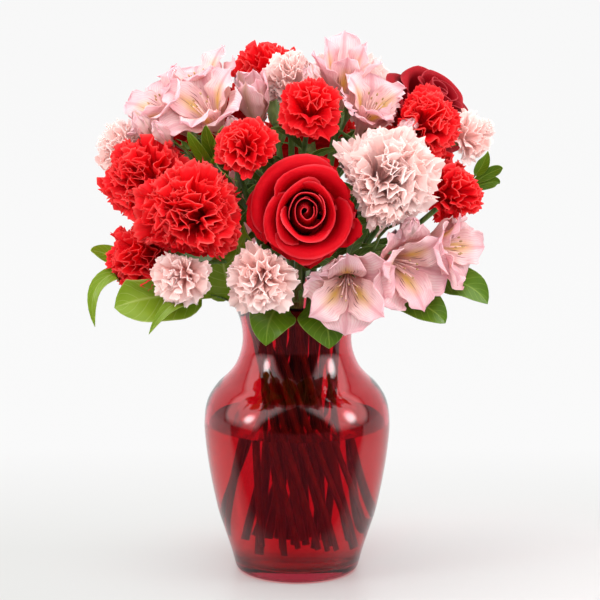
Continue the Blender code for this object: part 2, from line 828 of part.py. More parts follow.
def flowers():
    """Every head, each bent clear of the heads around it."""
    makers = {ROSE: rose_shapes, CARNATION: carnation_shapes, SPRAY: carnation_shapes, LILY: lily_shapes}
    everyone = [(plant, head) for plant in PLANTS for head in plant.heads]
    for plant in PLANTS:
        groups = []
        for index, head in enumerate(plant.heads):
            others = []
            for owner, other in everyone:
                near = (Vector(other.centre) - Vector(head.centre)).length < head.radius + other.radius
                fused = owner is plant and plant.kind is LILY
                if other is not head and near and not fused:
                    others.append(other)
            rng = random.Random(f"{plant.name} {index} {SEED}")
            groups.append(makers[plant.kind](head, plant.kind, others, rng))
        if plant.kind is LILY:
            shapes = [shape for group in groups for shape in group]
            solid(plant.name, plant.colour, shapes, plant.heads[0].centre)
            continue
        for index, group in enumerate(groups):
            suffix = "" if len(groups) == 1 else f"_{index + 1}"
            solid(plant.name + suffix, plant.colour, group, plant.heads[index].centre)


def stems(feet, places):
    """Every cut stem, with its calyxes or its leaves."""
    routes = lay_routes(places)
    points = relax_routes(routes)
    for number, (plant, place, foot) in enumerate(zip(PLANTS, places, feet)):
        shapes = stem_shapes(plant, number, place, routes, points, foot)
        if plant.leaves:
            run = next(points[index] for index, route in enumerate(routes) if route.plant == number)
            shapes += [leaf_shape(leaf, run) for leaf in plant.leaves]
            solid(plant.name, "leaf_green", shapes)
        else:
            solid(plant.name + "_stem", "stem_green", shapes)


def build():
    """Make every piece in its place."""
    clear_scene()
    frame = bpy.data.objects.new("bouquet", None)
    bpy.context.scene.collection.objects.link(frame)
    rng = random.Random(SEED)
    places = neck_places()
    feet = [stick_end(place, plant.kind.stem, rng) for plant, place in zip(PLANTS, places)]
    vase()
    water(feet, places)
    flowers()
    stems(feet, places)


build()
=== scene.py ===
import math
import random
from collections import namedtuple

import bpy
import numpy as np
from mathutils import Matrix, Vector


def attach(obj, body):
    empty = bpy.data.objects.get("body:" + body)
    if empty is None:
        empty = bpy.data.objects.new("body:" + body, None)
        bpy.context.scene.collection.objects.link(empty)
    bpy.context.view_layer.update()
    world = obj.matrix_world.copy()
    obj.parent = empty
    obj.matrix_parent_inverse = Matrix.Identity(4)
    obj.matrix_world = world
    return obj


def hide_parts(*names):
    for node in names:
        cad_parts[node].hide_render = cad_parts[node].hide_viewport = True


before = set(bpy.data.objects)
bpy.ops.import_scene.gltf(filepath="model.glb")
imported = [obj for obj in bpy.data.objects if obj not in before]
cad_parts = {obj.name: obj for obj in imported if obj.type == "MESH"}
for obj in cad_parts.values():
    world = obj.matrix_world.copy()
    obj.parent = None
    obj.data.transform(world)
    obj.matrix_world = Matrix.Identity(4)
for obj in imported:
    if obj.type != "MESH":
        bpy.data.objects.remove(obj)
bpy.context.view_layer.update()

# A mixed bouquet in a ruby glass vase. Shapes are drawn in millimetres and angles are in degrees until a
# piece is finished. The plants stand where the solids have them, from the same named values.
MM = 0.001
SEED = 85
TURN = 6.2832
PHASE = (0, 6.28)
SMOOTH_ANGLE = 50

# ---- the vase and the plants, as the solids have them ----

# The outside of the glass, as radius and height.
VASE_OUTLINE = (
    (40.5, 0.0), (46.2, 12.0), (52.0, 31.0), (61.6, 70.0), (65.4, 108.0),
    (57.5, 132.5), (43.7, 148.0), (38.3, 166.0), (42.3, 187.0), (52.0, 200.0),
)
GLASS_WALL = 3.0
GLASS_FLOOR = 8.0
WATER_LEVEL = 108.0
VASE_SIDES = 24
FIT_GAP = 0.3

# The stems cross in the neck, and turn and spread below it as in a hand-tied spiral.
NECK_HEIGHT = 167.0
NECK_ROOM = 29.5
NECK_SPACING = 9.2
NECK_ROUNDS = 400
NECK_PUSH = 0.25
NECK_CENTRE_HEIGHT = 365.0
NECK_CENTRE_FALL = 125.0
SPIRAL_TURN = 82.0
SPIRAL_SPREAD = 1.6
SPIRAL_DROP = 155.0
STEM_ENDS = (16.0, 34.0)
GLASS_CLEARANCE = 1.5
STRAIGHT_ABOVE_WATER = 12.0
RIM_HEIGHT = 207.0

# Above the neck each stem is a row of points. Round by round the rows are evened out and pushed apart.
ROUTE_POINTS = 30
ROUTE_FORK = 15
ROUTE_ROUNDS = 160
ROUTE_SPACING = 1.7
ROUTE_HEAD_SPACING = 1.2
ROUTE_BOW = 0.35
ROUTE_EASE = 0.3
ROUTE_PUSH = 0.3
ROUTE_HEAD_PUSH = 0.5
SIDE_STALK = 0.85

# Petals bend as they come near the plane where two heads meet, and stop just short of it. The plane waves,
# so that the heads mesh. What would reach far past it draws back to its own head.
PRESS_START = 5.0
PRESS_LEFT = 0.5
PRESS_WAVE = 1.6
PRESS_WAVES = (0.62, 0.55, 0.71)
DRAW_BACK = 0.75
DRAW_BACK_DEPTH = 15.0

# The calyx's length, its mouth's radius, how deep the petals start under the head's centre as a share of
# the head's radius, and the stem's radius.
Kind = namedtuple("Kind", "calyx mouth depth stem")
ROSE = Kind(calyx=9.0, mouth=7.0, depth=0.58, stem=2.9)
CARNATION = Kind(calyx=18.0, mouth=6.8, depth=0.50, stem=2.2)
SPRAY = Kind(calyx=13.0, mouth=4.6, depth=0.55, stem=1.8)
LILY = Kind(calyx=8.0, mouth=2.8, depth=0.85, stem=2.3)
GREEN = Kind(calyx=0.0, mouth=0.0, depth=0.0, stem=1.9)

# A head faces its azimuth (0 is the front, 90 the right) and its tilt above level. A leaf leaves its stem
# at a share of the way from the neck to the tip, and its width is the real blade's.
Head = namedtuple("Head", "centre azimuth tilt radius")
Leaf = namedtuple("Leaf", "along middle tip width faces")
Plant = namedtuple("Plant", "name kind colour heads leaves tip")

DEEP_RED = "rose_red"
RED = "carnation_red"
PINK = "carnation_pink"
PALE_LILY = "lily_pink"
LEAFY = "leaf_green"
UP = (0, 0, 1)


def flower(name, kind, colour, *heads):
    """A cut flower with one head or more."""
    return Plant(name, kind, colour, [Head(*head) for head in heads], [], None)


def sprig(name, tip, *leaves):
    """A leafy stem, which ends at its tip."""
    return Plant(name, GREEN, LEAFY, [], [Leaf(*values) for values in leaves], tip)


PLANTS = (
    flower("rose_front", ROSE, DEEP_RED, ((5, -84, 273), 2, 14, 46)),
    flower("rose_right", ROSE, DEEP_RED, ((88, 20, 326), 62, 48, 35)),
    flower("rose_back", ROSE, DEEP_RED, ((-54, 64, 304), -145, 36, 39)),
    flower("carnation_left", CARNATION, RED, ((-98, -42, 286), -62, 25, 31)),
    flower("carnation_near_left", CARNATION, RED, ((-68, -80, 269), -32, 16, 38)),
    flower("carnation_low_left", CARNATION, RED, ((-99, -46, 235), -60, -8, 27)),
    flower("carnation_top", CARNATION, RED, ((-19, 40, 342), -165, 60, 27)),
    flower("carnation_right", CARNATION, RED, ((84, -34, 323), 42, 35, 26)),
    flower("carnation_back", CARNATION, RED, ((8, 84, 296), 178, 26, 35)),
    flower("carnation_back_right", CARNATION, RED, ((74, 66, 280), 130, 20, 33)),
    flower("carnation_pale_front", CARNATION, PINK, ((58, -72, 293), 30, 30, 36)),
    flower("carnation_pale_top", CARNATION, PINK, ((-4, -8, 345), 0, 72, 23)),
    flower("carnation_pale_left", CARNATION, PINK, ((-116, 2, 299), -92, 20, 22)),
    flower("carnation_pale_back", CARNATION, PINK, ((36, 52, 332), 150, 56, 29)),
    flower("carnation_pale_low", CARNATION, PINK, ((-86, 40, 257), -115, 10, 30)),
    flower("spray_red_left", SPRAY, RED, ((9, -54, 336), 8, 45, 22), ((-34, -72, 314), -12, 36, 21)),
    flower("spray_red_right", SPRAY, RED, ((103, -42, 277), 60, 8, 22), ((100, 22, 268), 98, 6, 23)),
    flower("spray_pale_low", SPRAY, PINK, ((-23, -94, 232), -8, -14, 25), ((-76, -92, 232), -34, -8, 20)),
    flower("spray_pale_right", SPRAY, PINK, ((116, -8, 312), 78, 18, 18), ((46, 92, 238), 158, 0, 23)),
    flower(
        "lily_top_left", LILY, PALE_LILY,
        ((-93, -12, 331), -75, 42, 29), ((-62, -34, 335), -38, 50, 30), ((-66, 4, 346), -70, 66, 28),
    ),
    flower("lily_top_centre", LILY, PALE_LILY, ((-29, -22, 337), -20, 64, 20)),
    flower("lily_top_right", LILY, PALE_LILY, ((32, -4, 354), 20, 72, 28), ((51, -31, 335), 40, 54, 28)),
    flower(
        "lily_low_right", LILY, PALE_LILY,
        ((34, -90, 224), 0, -8, 30), ((72, -81, 236), 33, -4, 30), ((102, -56, 244), 66, 2, 29),
    ),
    flower("lily_back", LILY, PALE_LILY, ((-3, 95, 234), 180, -6, 30), ((-41, 85, 245), -154, 4, 29)),
    sprig(
        "salal_left", (-76, -30, 211),
        (0.80, (-88, -59, 211), (-124, -67, 204), 60, (0, -0.5, 1)),
        (0.92, (-124, -48, 224), (-138, -56, 188), 15, (-0.2, -0.3, 1)),
        (0.50, (-72, -84, 216), (-100, -82, 189), 14, (0, -0.6, 1)),
        (1.0, (-122, -24, 229), (-142, -30, 236), 18, (0.3, -0.6, 1)),
        (0.45, (-48, -54, 222), (-50, -60, 252), 46, (0, -0.6, 0.6)),
        (0.55, (-38, -50, 228), (-42, -62, 262), 38, (0, -0.6, 0.6)),
    ),
    sprig(
        "salal_centre", (3, -46, 212),
        (0.80, (-15, -68, 202), (-21, -78, 180), 44, (0, -1, 0.6)),
        (0.97, (17, -68, 201), (22, -78, 178), 48, (0, -1, 0.6)),
    ),
    sprig(
        "salal_right", (76, -26, 213),
        (0.80, (80, -56, 206), (101, -66, 193), 34, (0.2, -0.6, 1)),
        (0.97, (108, -36, 216), (131, -42, 201), 34, (0.3, -0.3, 1)),
    ),
    sprig(
        "salal_back", (-10, 46, 210),
        (0.78, (-60, 58, 210), (-94, 70, 198), 46, (-0.2, 0.4, 1)),
        (0.90, (2, 84, 200), (4, 110, 186), 44, (0, 0.6, 1)),
        (0.97, (56, 70, 209), (88, 90, 196), 46, (0.2, 0.4, 1)),
    ),
    sprig(
        "salal_upper", (-50, -42, 290),
        (0.97, (-58, -60, 312), (-61, -68, 330), 13, (-0.2, -1, 0.3)),
        (0.92, (-64, -60, 308), (-73, -66, 325), 12, (-0.5, -1, 0.3)),
        (0.95, (-50, -60, 308), (-47, -68, 327), 12, (0.3, -1, 0.3)),
        (0.80, (-52, -62, 300), (-40, -76, 300), 20, (0.3, -1, 0.8)),
        (0.85, (-82, -42, 306), (-100, -36, 318), 15, (-0.2, -1, 0.5)),
    ),
    sprig(
        "sprig_right", (122, -8, 283),
        (0.97, (127, -12, 291), (131, -14, 303), 12, (0.2, -1, 0.3)),
        (0.90, (132, -10, 286), (142, -12, 290), 11, (0.2, -1, 0.4)),
        (0.85, (130, -9, 279), (140, -10, 279), 12, (0.2, -1, 0.5)),
    ),
)

# ---- the camera, the studio and its light, in metres ----

CAMERA_PLACE = (0.0021, -2.2, 0.685)
CAMERA_AIM = (0.0021, 0.0, 0.1945)
CAMERA_LENS = 193.2
FILM_WIDTH = 36.0
TABLE_SIZE = 12

# The room, from the dark behind the camera to the white behind the vase.
ROOM = ((0.0, "#30262a"), (0.35, "#58484e"), (0.6, "#e4e0e1"), (1.0, "#ffffff"))

# Each softbox: its place, its aim, its size and its power.
SOFTBOXES = {
    "top": ((0.1, 0.1, 1.8), (0, 0, 0.2), (1.4, 1.4), 15),
    "front": ((0.1, -2.1, 1.4), (0, 0, 0.22), (1.8, 1.2), 42),
}

# Each scrim: its place, its size, where the lamp stands behind the cloth, and how far its light spreads.
SCRIMS = {
    "scrim_left": ((-1.63, -0.44, 1.61), (3.0, 4.4), (0.45, -0.95), 0.42),
    "scrim_right": ((1.61, -0.52, 1.61), (3.1, 4.4), (0.04, -0.95), 0.50),
}
SCRIM_AIM = (0, 0, 0.2)
SCRIM_CORE = 0.05
SCRIM_LIGHT = (17.0, 2.4)
SCRIM_SQUAT = 0.55
SCRIM_EDGES = (0.45, 0.7)

# The table's painted light, each as two distances from the vase and what it has there: painted light that
# whitens it away from a painted shade beside the vase, a painted pink glow under the glass for the light
# through it, and a painted dark in front that only the glass mirrors.
TABLE_SHADE = {"Location": (-0.082, 0.01, 0), "Scale": (0.62, 1.0, 1.0)}
TABLE_PAINTED_LIGHT = (0.07, 0.22, 0.0, 0.96)
TABLE_PAINTED_GLOW = (0.034, 0.043, 0.75, 0.0)
TABLE_PAINTED_DARK = (-0.035, -0.08, 0.0, 0.94)
TABLE_SWEEP = ((0.1, "#ececea"), (0.8, "#fafafa"))
TABLE_GREYS = ((0.3, "#b0b0b0"), (0.7, "#b6b5b5"))
SWEEP_PER_METRE = 2.5


def aimed(place, aim):
    """The turn that points a camera or a lamp from its place at its aim."""
    return (Vector(aim) - Vector(place)).to_track_quat("-Z", "Y").to_euler()


def camera():
    """The photograph's view: from a little above, at about two metres."""
    turn = aimed(CAMERA_PLACE, CAMERA_AIM)
    eye = begun(bpy.ops.object.camera_add, location=CAMERA_PLACE, rotation=turn)
    eye.name = "camera"
    eye.data.lens = CAMERA_LENS
    eye.data.sensor_width = FILM_WIDTH
    bpy.context.scene.camera = eye


def softbox(name, place, aim, size, power):
    """A studio softbox that faces its aim. Only the scrims show as reflections in the glass."""
    lamp = begun(bpy.ops.object.light_add, type="AREA", location=place, rotation=aimed(place, aim))
    lamp.name = name
    lamp.data.shape = "RECTANGLE"
    lamp.data.size, lamp.data.size_y = size
    lamp.data.energy = power
    lamp.visible_glossy = False
    lamp.visible_transmission = False


def scrim(name, place, size, lamp, reach):
    """A cloth scrim with a lamp behind it, which only lights and is mirrored."""
    turn = aimed(place, SCRIM_AIM)
    sheet = begun(bpy.ops.mesh.primitive_plane_add, size=1, location=place, rotation=turn)
    sheet.name = name
    sheet.scale = (*size, 1)
    bpy.ops.object.transform_apply(location=False, rotation=False, scale=True)
    sheet.data.materials.append(scrim_material(name + "_cloth", size, lamp, reach))
    sheet.visible_camera = False


def studio():
    """A pale table that runs out into a white sweep, between two scrims, with lamps above and in front."""
    bpy.context.scene.view_settings.view_transform = "Standard"
    world = bpy.data.worlds.new("studio")
    bpy.context.scene.world = world
    world.use_nodes = True
    tree = world.node_tree
    depth = add(tree, "SeparateXYZ", (add(tree, "TexCoord", out="Generated"),), "Y")
    share = add(tree, "Math", (depth, 0.5, 0.5), operation="MULTIPLY_ADD")
    room = add(tree, "ValToRGB", (share,), stops=ROOM)
    tree.links.new(room, tree.nodes["Background"].inputs["Color"])
    for name, values in SOFTBOXES.items():
        softbox(name, *values)
    for name, values in SCRIMS.items():
        scrim(name, *values)
    floor = begun(bpy.ops.mesh.primitive_plane_add, size=TABLE_SIZE, location=(0, 0, 0))
    floor.name = "table_top"
    floor.data.materials.append(table_material())


# ---- colour and materials ----

# The sizes of the patterns, in millimetres. The clouds are as broad as the flushes of colour on a real
# petal or leaf. The real grain of a stem and of pollen is too fine to show in the render, so both are
# drawn several times as coarse.
PETAL_CLOUD = 11.1
TEPAL_CLOUD = 8.33
LEAF_CLOUD = 14.3
LEAF_PUCKER = 3.85
STEM_GRAIN = 2.5
POLLEN_GRAIN = 0.667
GLASS_WAVE = 71.4
WATER_RIPPLE = 33.3

# Veins across one petal. A real one has two or three times as many, too fine to show in the render.
CARNATION_VEINS = 22.0
ROSE_VEINS = 30.0
TEPAL_VEINS = 16.0

# How they wander: the scale and the detail of the noise over a petal, and by how many veins.
PETAL_WANDER = (5.0, 1.0, 3.0)
TEPAL_WANDER = (4.0, 2.0, 2.0)

# The side veins along half a leaf, how much they lean to its tip, and how narrow its midrib is.
LEAF_VEINS = 8
LEAF_SLANT = 0.55
LEAF_RIB = 26.0

# The specular level of each face: a velvety petal mirrors little, and a waxy leaf as most things do.
PETAL_SHINE = 0.14
TEPAL_SHINE = 0.4
LEAF_SHINE = 0.5
TEPAL_ROUGHNESS = 0.42
TEPAL_GLOW = 0.5

# How each surface stands out: the strength of its bump, and its depth in metres.
PETAL_BUMP = (0.12, 0.0002)
TEPAL_BUMP = (0.15, 0.0003)
LEAF_BUMP = (0.35, 0.0004)
STEM_BUMP = (0.2, 0.0003)
GLASS_BUMP = (0.06, 0.004)
WATER_BUMP = (0.03, 0.002)

# Colours from the claw of a petal to its rim, and of the glass from its foot to its rim. On the petals
# they are partly their own colour and partly painted light: painted shade deep at the claw and a painted
# highlight at the rim.
CARNATION_REDS = ((0.0, "#cc000e"), (0.45, "#e60416"), (0.8, "#f61824"), (0.94, "#fc4044"), (1.0, "#ff7a76"))
CARNATION_PINKS = ((0.0, "#ffa69a"), (0.4, "#ffd4ce"), (0.75, "#ffeae7"), (0.95, "#fff3f1"), (1.0, "#fff8f7"))
ROSE_REDS = ((0.0, "#8a0008"), (0.4, "#b40412"), (0.72, "#d40418"), (0.95, "#e2101f"), (1.0, "#ec4a54"))
ROSE_DEEP_REDS = ((0.0, "#6c000c"), (0.5, "#980012"), (0.86, "#a40818"), (0.97, "#b82430"), (1.0, "#cc4850"))
TEPAL_PINKS = ((0.0, "#c0ac64"), (0.2, "#e4b8a2"), (0.42, "#f6d4cc"), (0.8, "#fbe8e7"), (1.0, "#fadbe1"))
RUBY = ((0.0, "#8e1026"), (0.035, "#9c1830"), (0.08, "#cc2840"), (0.13, "#d8304a"), (1.0, "#e05262"))
KEEL_PINK = "#dc929c"
GLASS_IOR = 1.5
WATER_IOR = 1.33


def linear(code):
    """An sRGB hex colour as linear red, green, blue and alpha."""
    values = [int(code[i : i + 2], 16) / 255 for i in (1, 3, 5)]
    return tuple(v / 12.92 if v <= 0.04045 else ((v + 0.055) / 1.055) ** 2.4 for v in values) + (1.0,)


def per_metre(size):
    """The scale of a pattern on coordinates in metres, from its size in millimetres."""
    return 1000 / size


def add(tree, kind, inputs=(), out=0, stops=(), **settings):
    """A node with its settings, its inputs (values, or sockets to link from) and the stops of a ramp. It
    gives the output asked for, or the node itself for None."""
    node = tree.nodes.new("ShaderNode" + kind)
    for name, value in settings.items():
        setattr(node, name, value)
    for name, value in dict(inputs if isinstance(inputs, dict) else enumerate(inputs)).items():
        if isinstance(value, bpy.types.NodeSocket):
            tree.links.new(value, node.inputs[name])
        else:
            node.inputs[name].default_value = value
    for _ in stops[2:]:
        node.color_ramp.elements.new(0.5)
    for number, (position, code) in enumerate(stops):
        node.color_ramp.elements[number].position = position
        node.color_ramp.elements[number].color = linear(code)
    return node if out is None else node.outputs[out]


def blank(name):
    """A new material with an empty tree."""
    made = bpy.data.materials.new(name)
    made.use_nodes = True
    made.node_tree.nodes.clear()
    return made, made.node_tree


def scrim_material(name, size, lamp, reach):
    """White cloth lit from behind: bright where the lamp stands and dim towards its soft edges. It glows
    on the back of the sheet, which faces the vase."""
    made, tree = blank(name)
    spot = add(tree, "TexCoord", out="Object")
    squat = add(tree, "Mapping", {"Vector": spot, "Scale": (1.0, SCRIM_SQUAT, 1.0)})
    middle = (lamp[0], lamp[1] * SCRIM_SQUAT, 0)
    away = add(tree, "VectorMath", (squat, middle), "Value", operation="DISTANCE")
    fall = (away, SCRIM_CORE, reach, *SCRIM_LIGHT)
    power = add(tree, "MapRange", fall, interpolation_type="SMOOTHERSTEP")
    for way, length, soft in zip("XY", size, SCRIM_EDGES):
        off = add(tree, "Math", (add(tree, "SeparateXYZ", (spot,), way),), operation="ABSOLUTE")
        edge = add(tree, "Math", (length / 2, off), operation="SUBTRACT")
        share = add(tree, "Math", (edge, soft), operation="DIVIDE", use_clamp=True)
        power = add(tree, "Math", (power, share), operation="MULTIPLY")
    back = add(tree, "NewGeometry", out="Backfacing")
    power = add(tree, "Math", (power, back), operation="MULTIPLY")
    add(tree, "OutputMaterial", (add(tree, "Emission", (linear("#fffdfc"), power)),), None)
    return made


def table_material():
    """White laminate, satin from its press. Painted light whitens it away from the vase and leaves a painted
    shade beside it, a painted pink glow under the glass stands for the light through it, and the glass alone
    mirrors a painted dark in front of the table, which stands for the dark room."""
    made, tree = blank("white_laminate")
    spot = add(tree, "TexCoord", out="Object")
    depth = add(tree, "SeparateXYZ", (spot,), "Y")
    shade = add(tree, "Mapping", {"Vector": spot, **TABLE_SHADE})
    beyond = add(tree, "VectorMath", (shade,), "Value", operation="LENGTH")
    # Painted light and shade: emission whitens the table away from the vase, and leaves a painted shade round
    # it that reaches further to the right.
    lit = add(tree, "MapRange", (beyond, *TABLE_PAINTED_LIGHT), interpolation_type="SMOOTHSTEP")
    sweep = add(tree, "Math", (depth, SWEEP_PER_METRE), operation="MULTIPLY", use_clamp=True)
    sweep = add(tree, "ValToRGB", (sweep,), stops=TABLE_SWEEP)
    away = add(tree, "VectorMath", (spot,), "Value", operation="LENGTH")
    # Painted glow: pink emission under the glass stands for the light that passes through it.
    under = add(tree, "MapRange", (away, *TABLE_PAINTED_GLOW))
    path = add(tree, "LightPath", out=None).outputs
    rays = (path["Is Glossy Ray"], path["Is Transmission Ray"])
    mirrored = add(tree, "Math", rays, operation="SUBTRACT", use_clamp=True)
    # Painted reflection: dark emission in front of the vase that only glossy rays see, standing for the dark
    # room mirrored in the glass.
    front = add(tree, "MapRange", (depth, *TABLE_PAINTED_DARK))
    front = add(tree, "Math", (front, mirrored), operation="MULTIPLY")
    cloud = add(tree, "TexNoise", {"Scale": 1.2})
    colour = add(tree, "ValToRGB", (cloud,), stops=TABLE_GREYS)
    both = add(tree, "BsdfPrincipled", {"Base Color": colour, "Roughness": 0.4})
    for share, glow in ((lit, sweep), (under, linear("#ff949c")), (front, linear("#3c141a"))):
        both = add(tree, "MixShader", (share, both, add(tree, "Emission", (glow, 1.0))))
    add(tree, "OutputMaterial", (both,), None)
    return made


Growth = namedtuple("Growth", "place across along tone spot cloud")


def growth(tree, size, detail=2.0):
    """What a petal or a leaf is coloured by: the ways across and along it, its own tone, and clouds of a
    size in millimetres."""
    place = add(tree, "UVMap", uv_map="UVMap")
    across, along, _ = add(tree, "SeparateXYZ", (place,), None).outputs
    tone = add(tree, "Attribute", out="Fac", attribute_name="tone")
    spot = add(tree, "TexCoord", out="Object")
    cloud = add(tree, "TexNoise", {"Vector": spot, "Scale": per_metre(size), "Detail": detail})
    return Growth(place, across, along, tone, spot, cloud)


def off_midrib(tree, marks):
    """How far a spot lies from the midrib, as a share of the whole width."""
    return add(tree, "Math", (add(tree, "Math", (marks.across, -0.5)),), operation="ABSOLUTE")


def ridges(tree, marks, count, scale, detail, wander):
    """Veins that run along a petal and wander a little, as a wave from -1 to 1."""
    wobble = add(tree, "TexNoise", {"Vector": marks.place, "Scale": scale, "Detail": detail})
    wobble = add(tree, "Math", (wobble, wander), operation="MULTIPLY")
    line = add(tree, "Math", (marks.across, count, wobble), operation="MULTIPLY_ADD")
    line = add(tree, "Math", (line, TURN), operation="MULTIPLY")
    return add(tree, "Math", (line,), operation="SINE")


def living(tree, colour, layers, height, bump, roughness, shine, glow):
    """The thin skin of a petal or a leaf: a colour with others laid over it, each where its share is high.
    It stands out by a height, shines, and lets light through."""
    for share, code in layers:
        colour = add(tree, "Mix", {0: share, 6: colour, 7: linear(code)}, 2, data_type="RGBA")
    normal = add(tree, "Bump", {"Height": height, "Strength": bump[0], "Distance": bump[1]})
    face = {"Base Color": colour, "Roughness": roughness, "Specular IOR Level": shine, "Normal": normal}
    through = add(tree, "BsdfTranslucent", {"Color": colour, "Normal": normal})
    both = add(tree, "MixShader", (glow, add(tree, "BsdfPrincipled", face), through))
    add(tree, "OutputMaterial", (both,), None)


def petal_material(name, stops, other, glow, roughness, veins):
    """A living petal, as it grew: matt with a soft bloom, because its cells stand up like velvet. Its
    colour runs from claw to rim, partly its own and partly painted shade at the claw and a painted
    highlight at the rim, and drifts from petal to petal, and fine veins run along it."""
    made, tree = blank(name)
    marks = growth(tree, PETAL_CLOUD)
    drift = add(tree, "Math", (marks.tone, 0.6, -0.15), operation="MULTIPLY_ADD")
    drift = add(tree, "Math", (marks.cloud, 0.6, drift), operation="MULTIPLY_ADD", use_clamp=True)
    # Painted shade deep at the claw and a painted highlight at the rim, over the petal's own colour.
    colour = add(tree, "ValToRGB", (marks.along,), stops=stops)
    height = ridges(tree, marks, veins, *PETAL_WANDER)
    living(tree, colour, [(drift, other)], height, PETAL_BUMP, roughness, PETAL_SHINE, glow)
    return made


def streaks(tree, marks, off):
    """The yellow throat of an alstroemeria, and the dark red streaks in it."""
    gold = add(tree, "Math", (off, -4.0, 1.0), operation="MULTIPLY_ADD", use_clamp=True)
    low = add(tree, "Math", (marks.along, 3.2, -1.6), operation="MULTIPLY_ADD")
    low = add(tree, "Math", (low,), operation="ABSOLUTE")
    low = add(tree, "Math", (1.0, low), operation="SUBTRACT", use_clamp=True)
    stretched = add(tree, "Mapping", {"Vector": marks.place, "Scale": (22.0, 3.2, 1.0)})
    fleck = add(tree, "TexVoronoi", {"Vector": stretched, "Scale": 1.0}, "Distance")
    dark = add(tree, "Math", (0.32, fleck), operation="SUBTRACT", use_clamp=True)
    dark = add(tree, "Math", (dark, 9.0), operation="MULTIPLY", use_clamp=True)
    shares = [add(tree, "Math", (share, low), operation="MULTIPLY") for share in (gold, dark)]
    return list(zip(shares, ("#ecd05a", "#7a1430")))


def tepal_material(name, streaked, stripe, narrow):
    """An alstroemeria tepal, as it grew: smooth and a little waxy, so it has a soft shine. It is pale pink
    with a deeper keel, and the inner ones have a yellow throat with streaks."""
    made, tree = blank(name)
    marks = growth(tree, TEPAL_CLOUD)
    off = off_midrib(tree, marks)
    flush = add(tree, "Math", (marks.tone, 0.4, -0.45), operation="MULTIPLY_ADD")
    flush = add(tree, "Math", (marks.cloud, flush), use_clamp=True)
    keel = add(tree, "Math", (off, -narrow, 1.0), operation="MULTIPLY_ADD", use_clamp=True)
    keel = add(tree, "Math", (keel, 0.6), operation="MULTIPLY")
    ridge = ridges(tree, marks, TEPAL_VEINS, *TEPAL_WANDER)
    vein = add(tree, "Math", (ridge, -0.35), use_clamp=True)
    vein = add(tree, "Math", (vein, 0.6), operation="MULTIPLY")
    layers = [(flush, "#f0b6c2"), (keel, stripe)]
    layers += streaks(tree, marks, off) if streaked else []
    layers.append((vein, "#e49cac"))
    colour = add(tree, "ValToRGB", (marks.along,), stops=TEPAL_PINKS)
    living(tree, colour, layers, ridge, TEPAL_BUMP, TEPAL_ROUGHNESS, TEPAL_SHINE, TEPAL_GLOW)
    return made


def leaf_material(name, blade, shade, vein, gloss, glow):
    """A leathery leaf, as it grew: its wax gives a broad shine. It has a paler midrib and edge, side veins
    that run up and out, and a drift of lighter and darker green."""
    made, tree = blank(name)
    marks = growth(tree, LEAF_CLOUD, 3.0)
    off = off_midrib(tree, marks)
    drift = add(tree, "Math", (marks.tone, 0.5, -0.25), operation="MULTIPLY_ADD")
    drift = add(tree, "Math", (marks.cloud, drift), use_clamp=True)
    rib = add(tree, "Math", (off, -LEAF_RIB, 1.0), operation="MULTIPLY_ADD", use_clamp=True)
    slant = add(tree, "Math", (off, -LEAF_SLANT, marks.along), operation="MULTIPLY_ADD")
    side = add(tree, "Math", (slant, TURN * LEAF_VEINS), operation="MULTIPLY")
    side = add(tree, "Math", (side,), operation="SINE")
    side = add(tree, "Math", (side, -0.9), use_clamp=True)
    side = add(tree, "Math", (side, 4.8), operation="MULTIPLY")
    veins = add(tree, "Math", (rib, side), operation="MAXIMUM")
    edge = add(tree, "Math", (off, -0.475), use_clamp=True)
    edge = add(tree, "Math", (edge, 40.0), operation="MULTIPLY", use_clamp=True)
    layers = [(drift, shade), (veins, vein), (edge, vein)]
    pucker = add(tree, "TexNoise", {"Vector": marks.spot, "Scale": per_metre(LEAF_PUCKER)})
    pucker = add(tree, "Math", (pucker, 0.6), operation="MULTIPLY")
    height = add(tree, "Math", (pucker, veins), operation="SUBTRACT")
    living(tree, linear(blade), layers, height, LEAF_BUMP, gloss, LEAF_SHINE, glow)
    return made


def skin_material(name, light, dark, roughness, grain=STEM_GRAIN):
    """The skin of a stem, calyx or stamen, as it grew: two tones in a fine stretched grain, with a slight
    sheen."""
    made, tree = blank(name)
    spot = add(tree, "TexCoord", out="Object")
    stretched = add(tree, "Mapping", {"Vector": spot, "Scale": (1.0, 1.0, 0.12)})
    cloud = add(tree, "TexNoise", {"Vector": stretched, "Scale": per_metre(grain), "Detail": 3.0})
    colour = add(tree, "ValToRGB", (cloud,), stops=((0.35, dark), (0.65, light)))
    normal = add(tree, "Bump", {"Height": cloud, "Strength": STEM_BUMP[0], "Distance": STEM_BUMP[1]})
    face = {"Base Color": colour, "Roughness": roughness, "Normal": normal}
    add(tree, "OutputMaterial", (add(tree, "BsdfPrincipled", face),), None)
    return made


def clear_material(name, stops, ior, wave, detail, bump, shadow):
    """A clear body with faint waves: it bends the light and colours it, and its shadow is tinted light.
    Its colour may run from the foot to the rim."""
    made, tree = blank(name)
    spot = add(tree, "TexCoord", out="Object")
    waves = add(tree, "TexNoise", {"Vector": spot, "Scale": per_metre(wave), "Detail": detail})
    normal = add(tree, "Bump", {"Height": waves, "Strength": bump[0], "Distance": bump[1]})
    tint = linear(stops[0][1])
    if len(stops) > 1:
        height = add(tree, "SeparateXYZ", (spot,), "Z")
        share = add(tree, "Math", (height, 5.0), operation="MULTIPLY", use_clamp=True)
        tint = add(tree, "ValToRGB", (share,), stops=stops)
    body = {"Base Color": tint, "Roughness": 0.0, "IOR": ior, "Transmission Weight": 1.0, "Normal": normal}
    body = add(tree, "BsdfPrincipled", body)
    shade = add(tree, "BsdfTransparent", {"Color": linear(shadow)})
    both = add(tree, "MixShader", (add(tree, "LightPath", out="Is Shadow Ray"), body, shade))
    add(tree, "OutputMaterial", (both,), None)
    return made


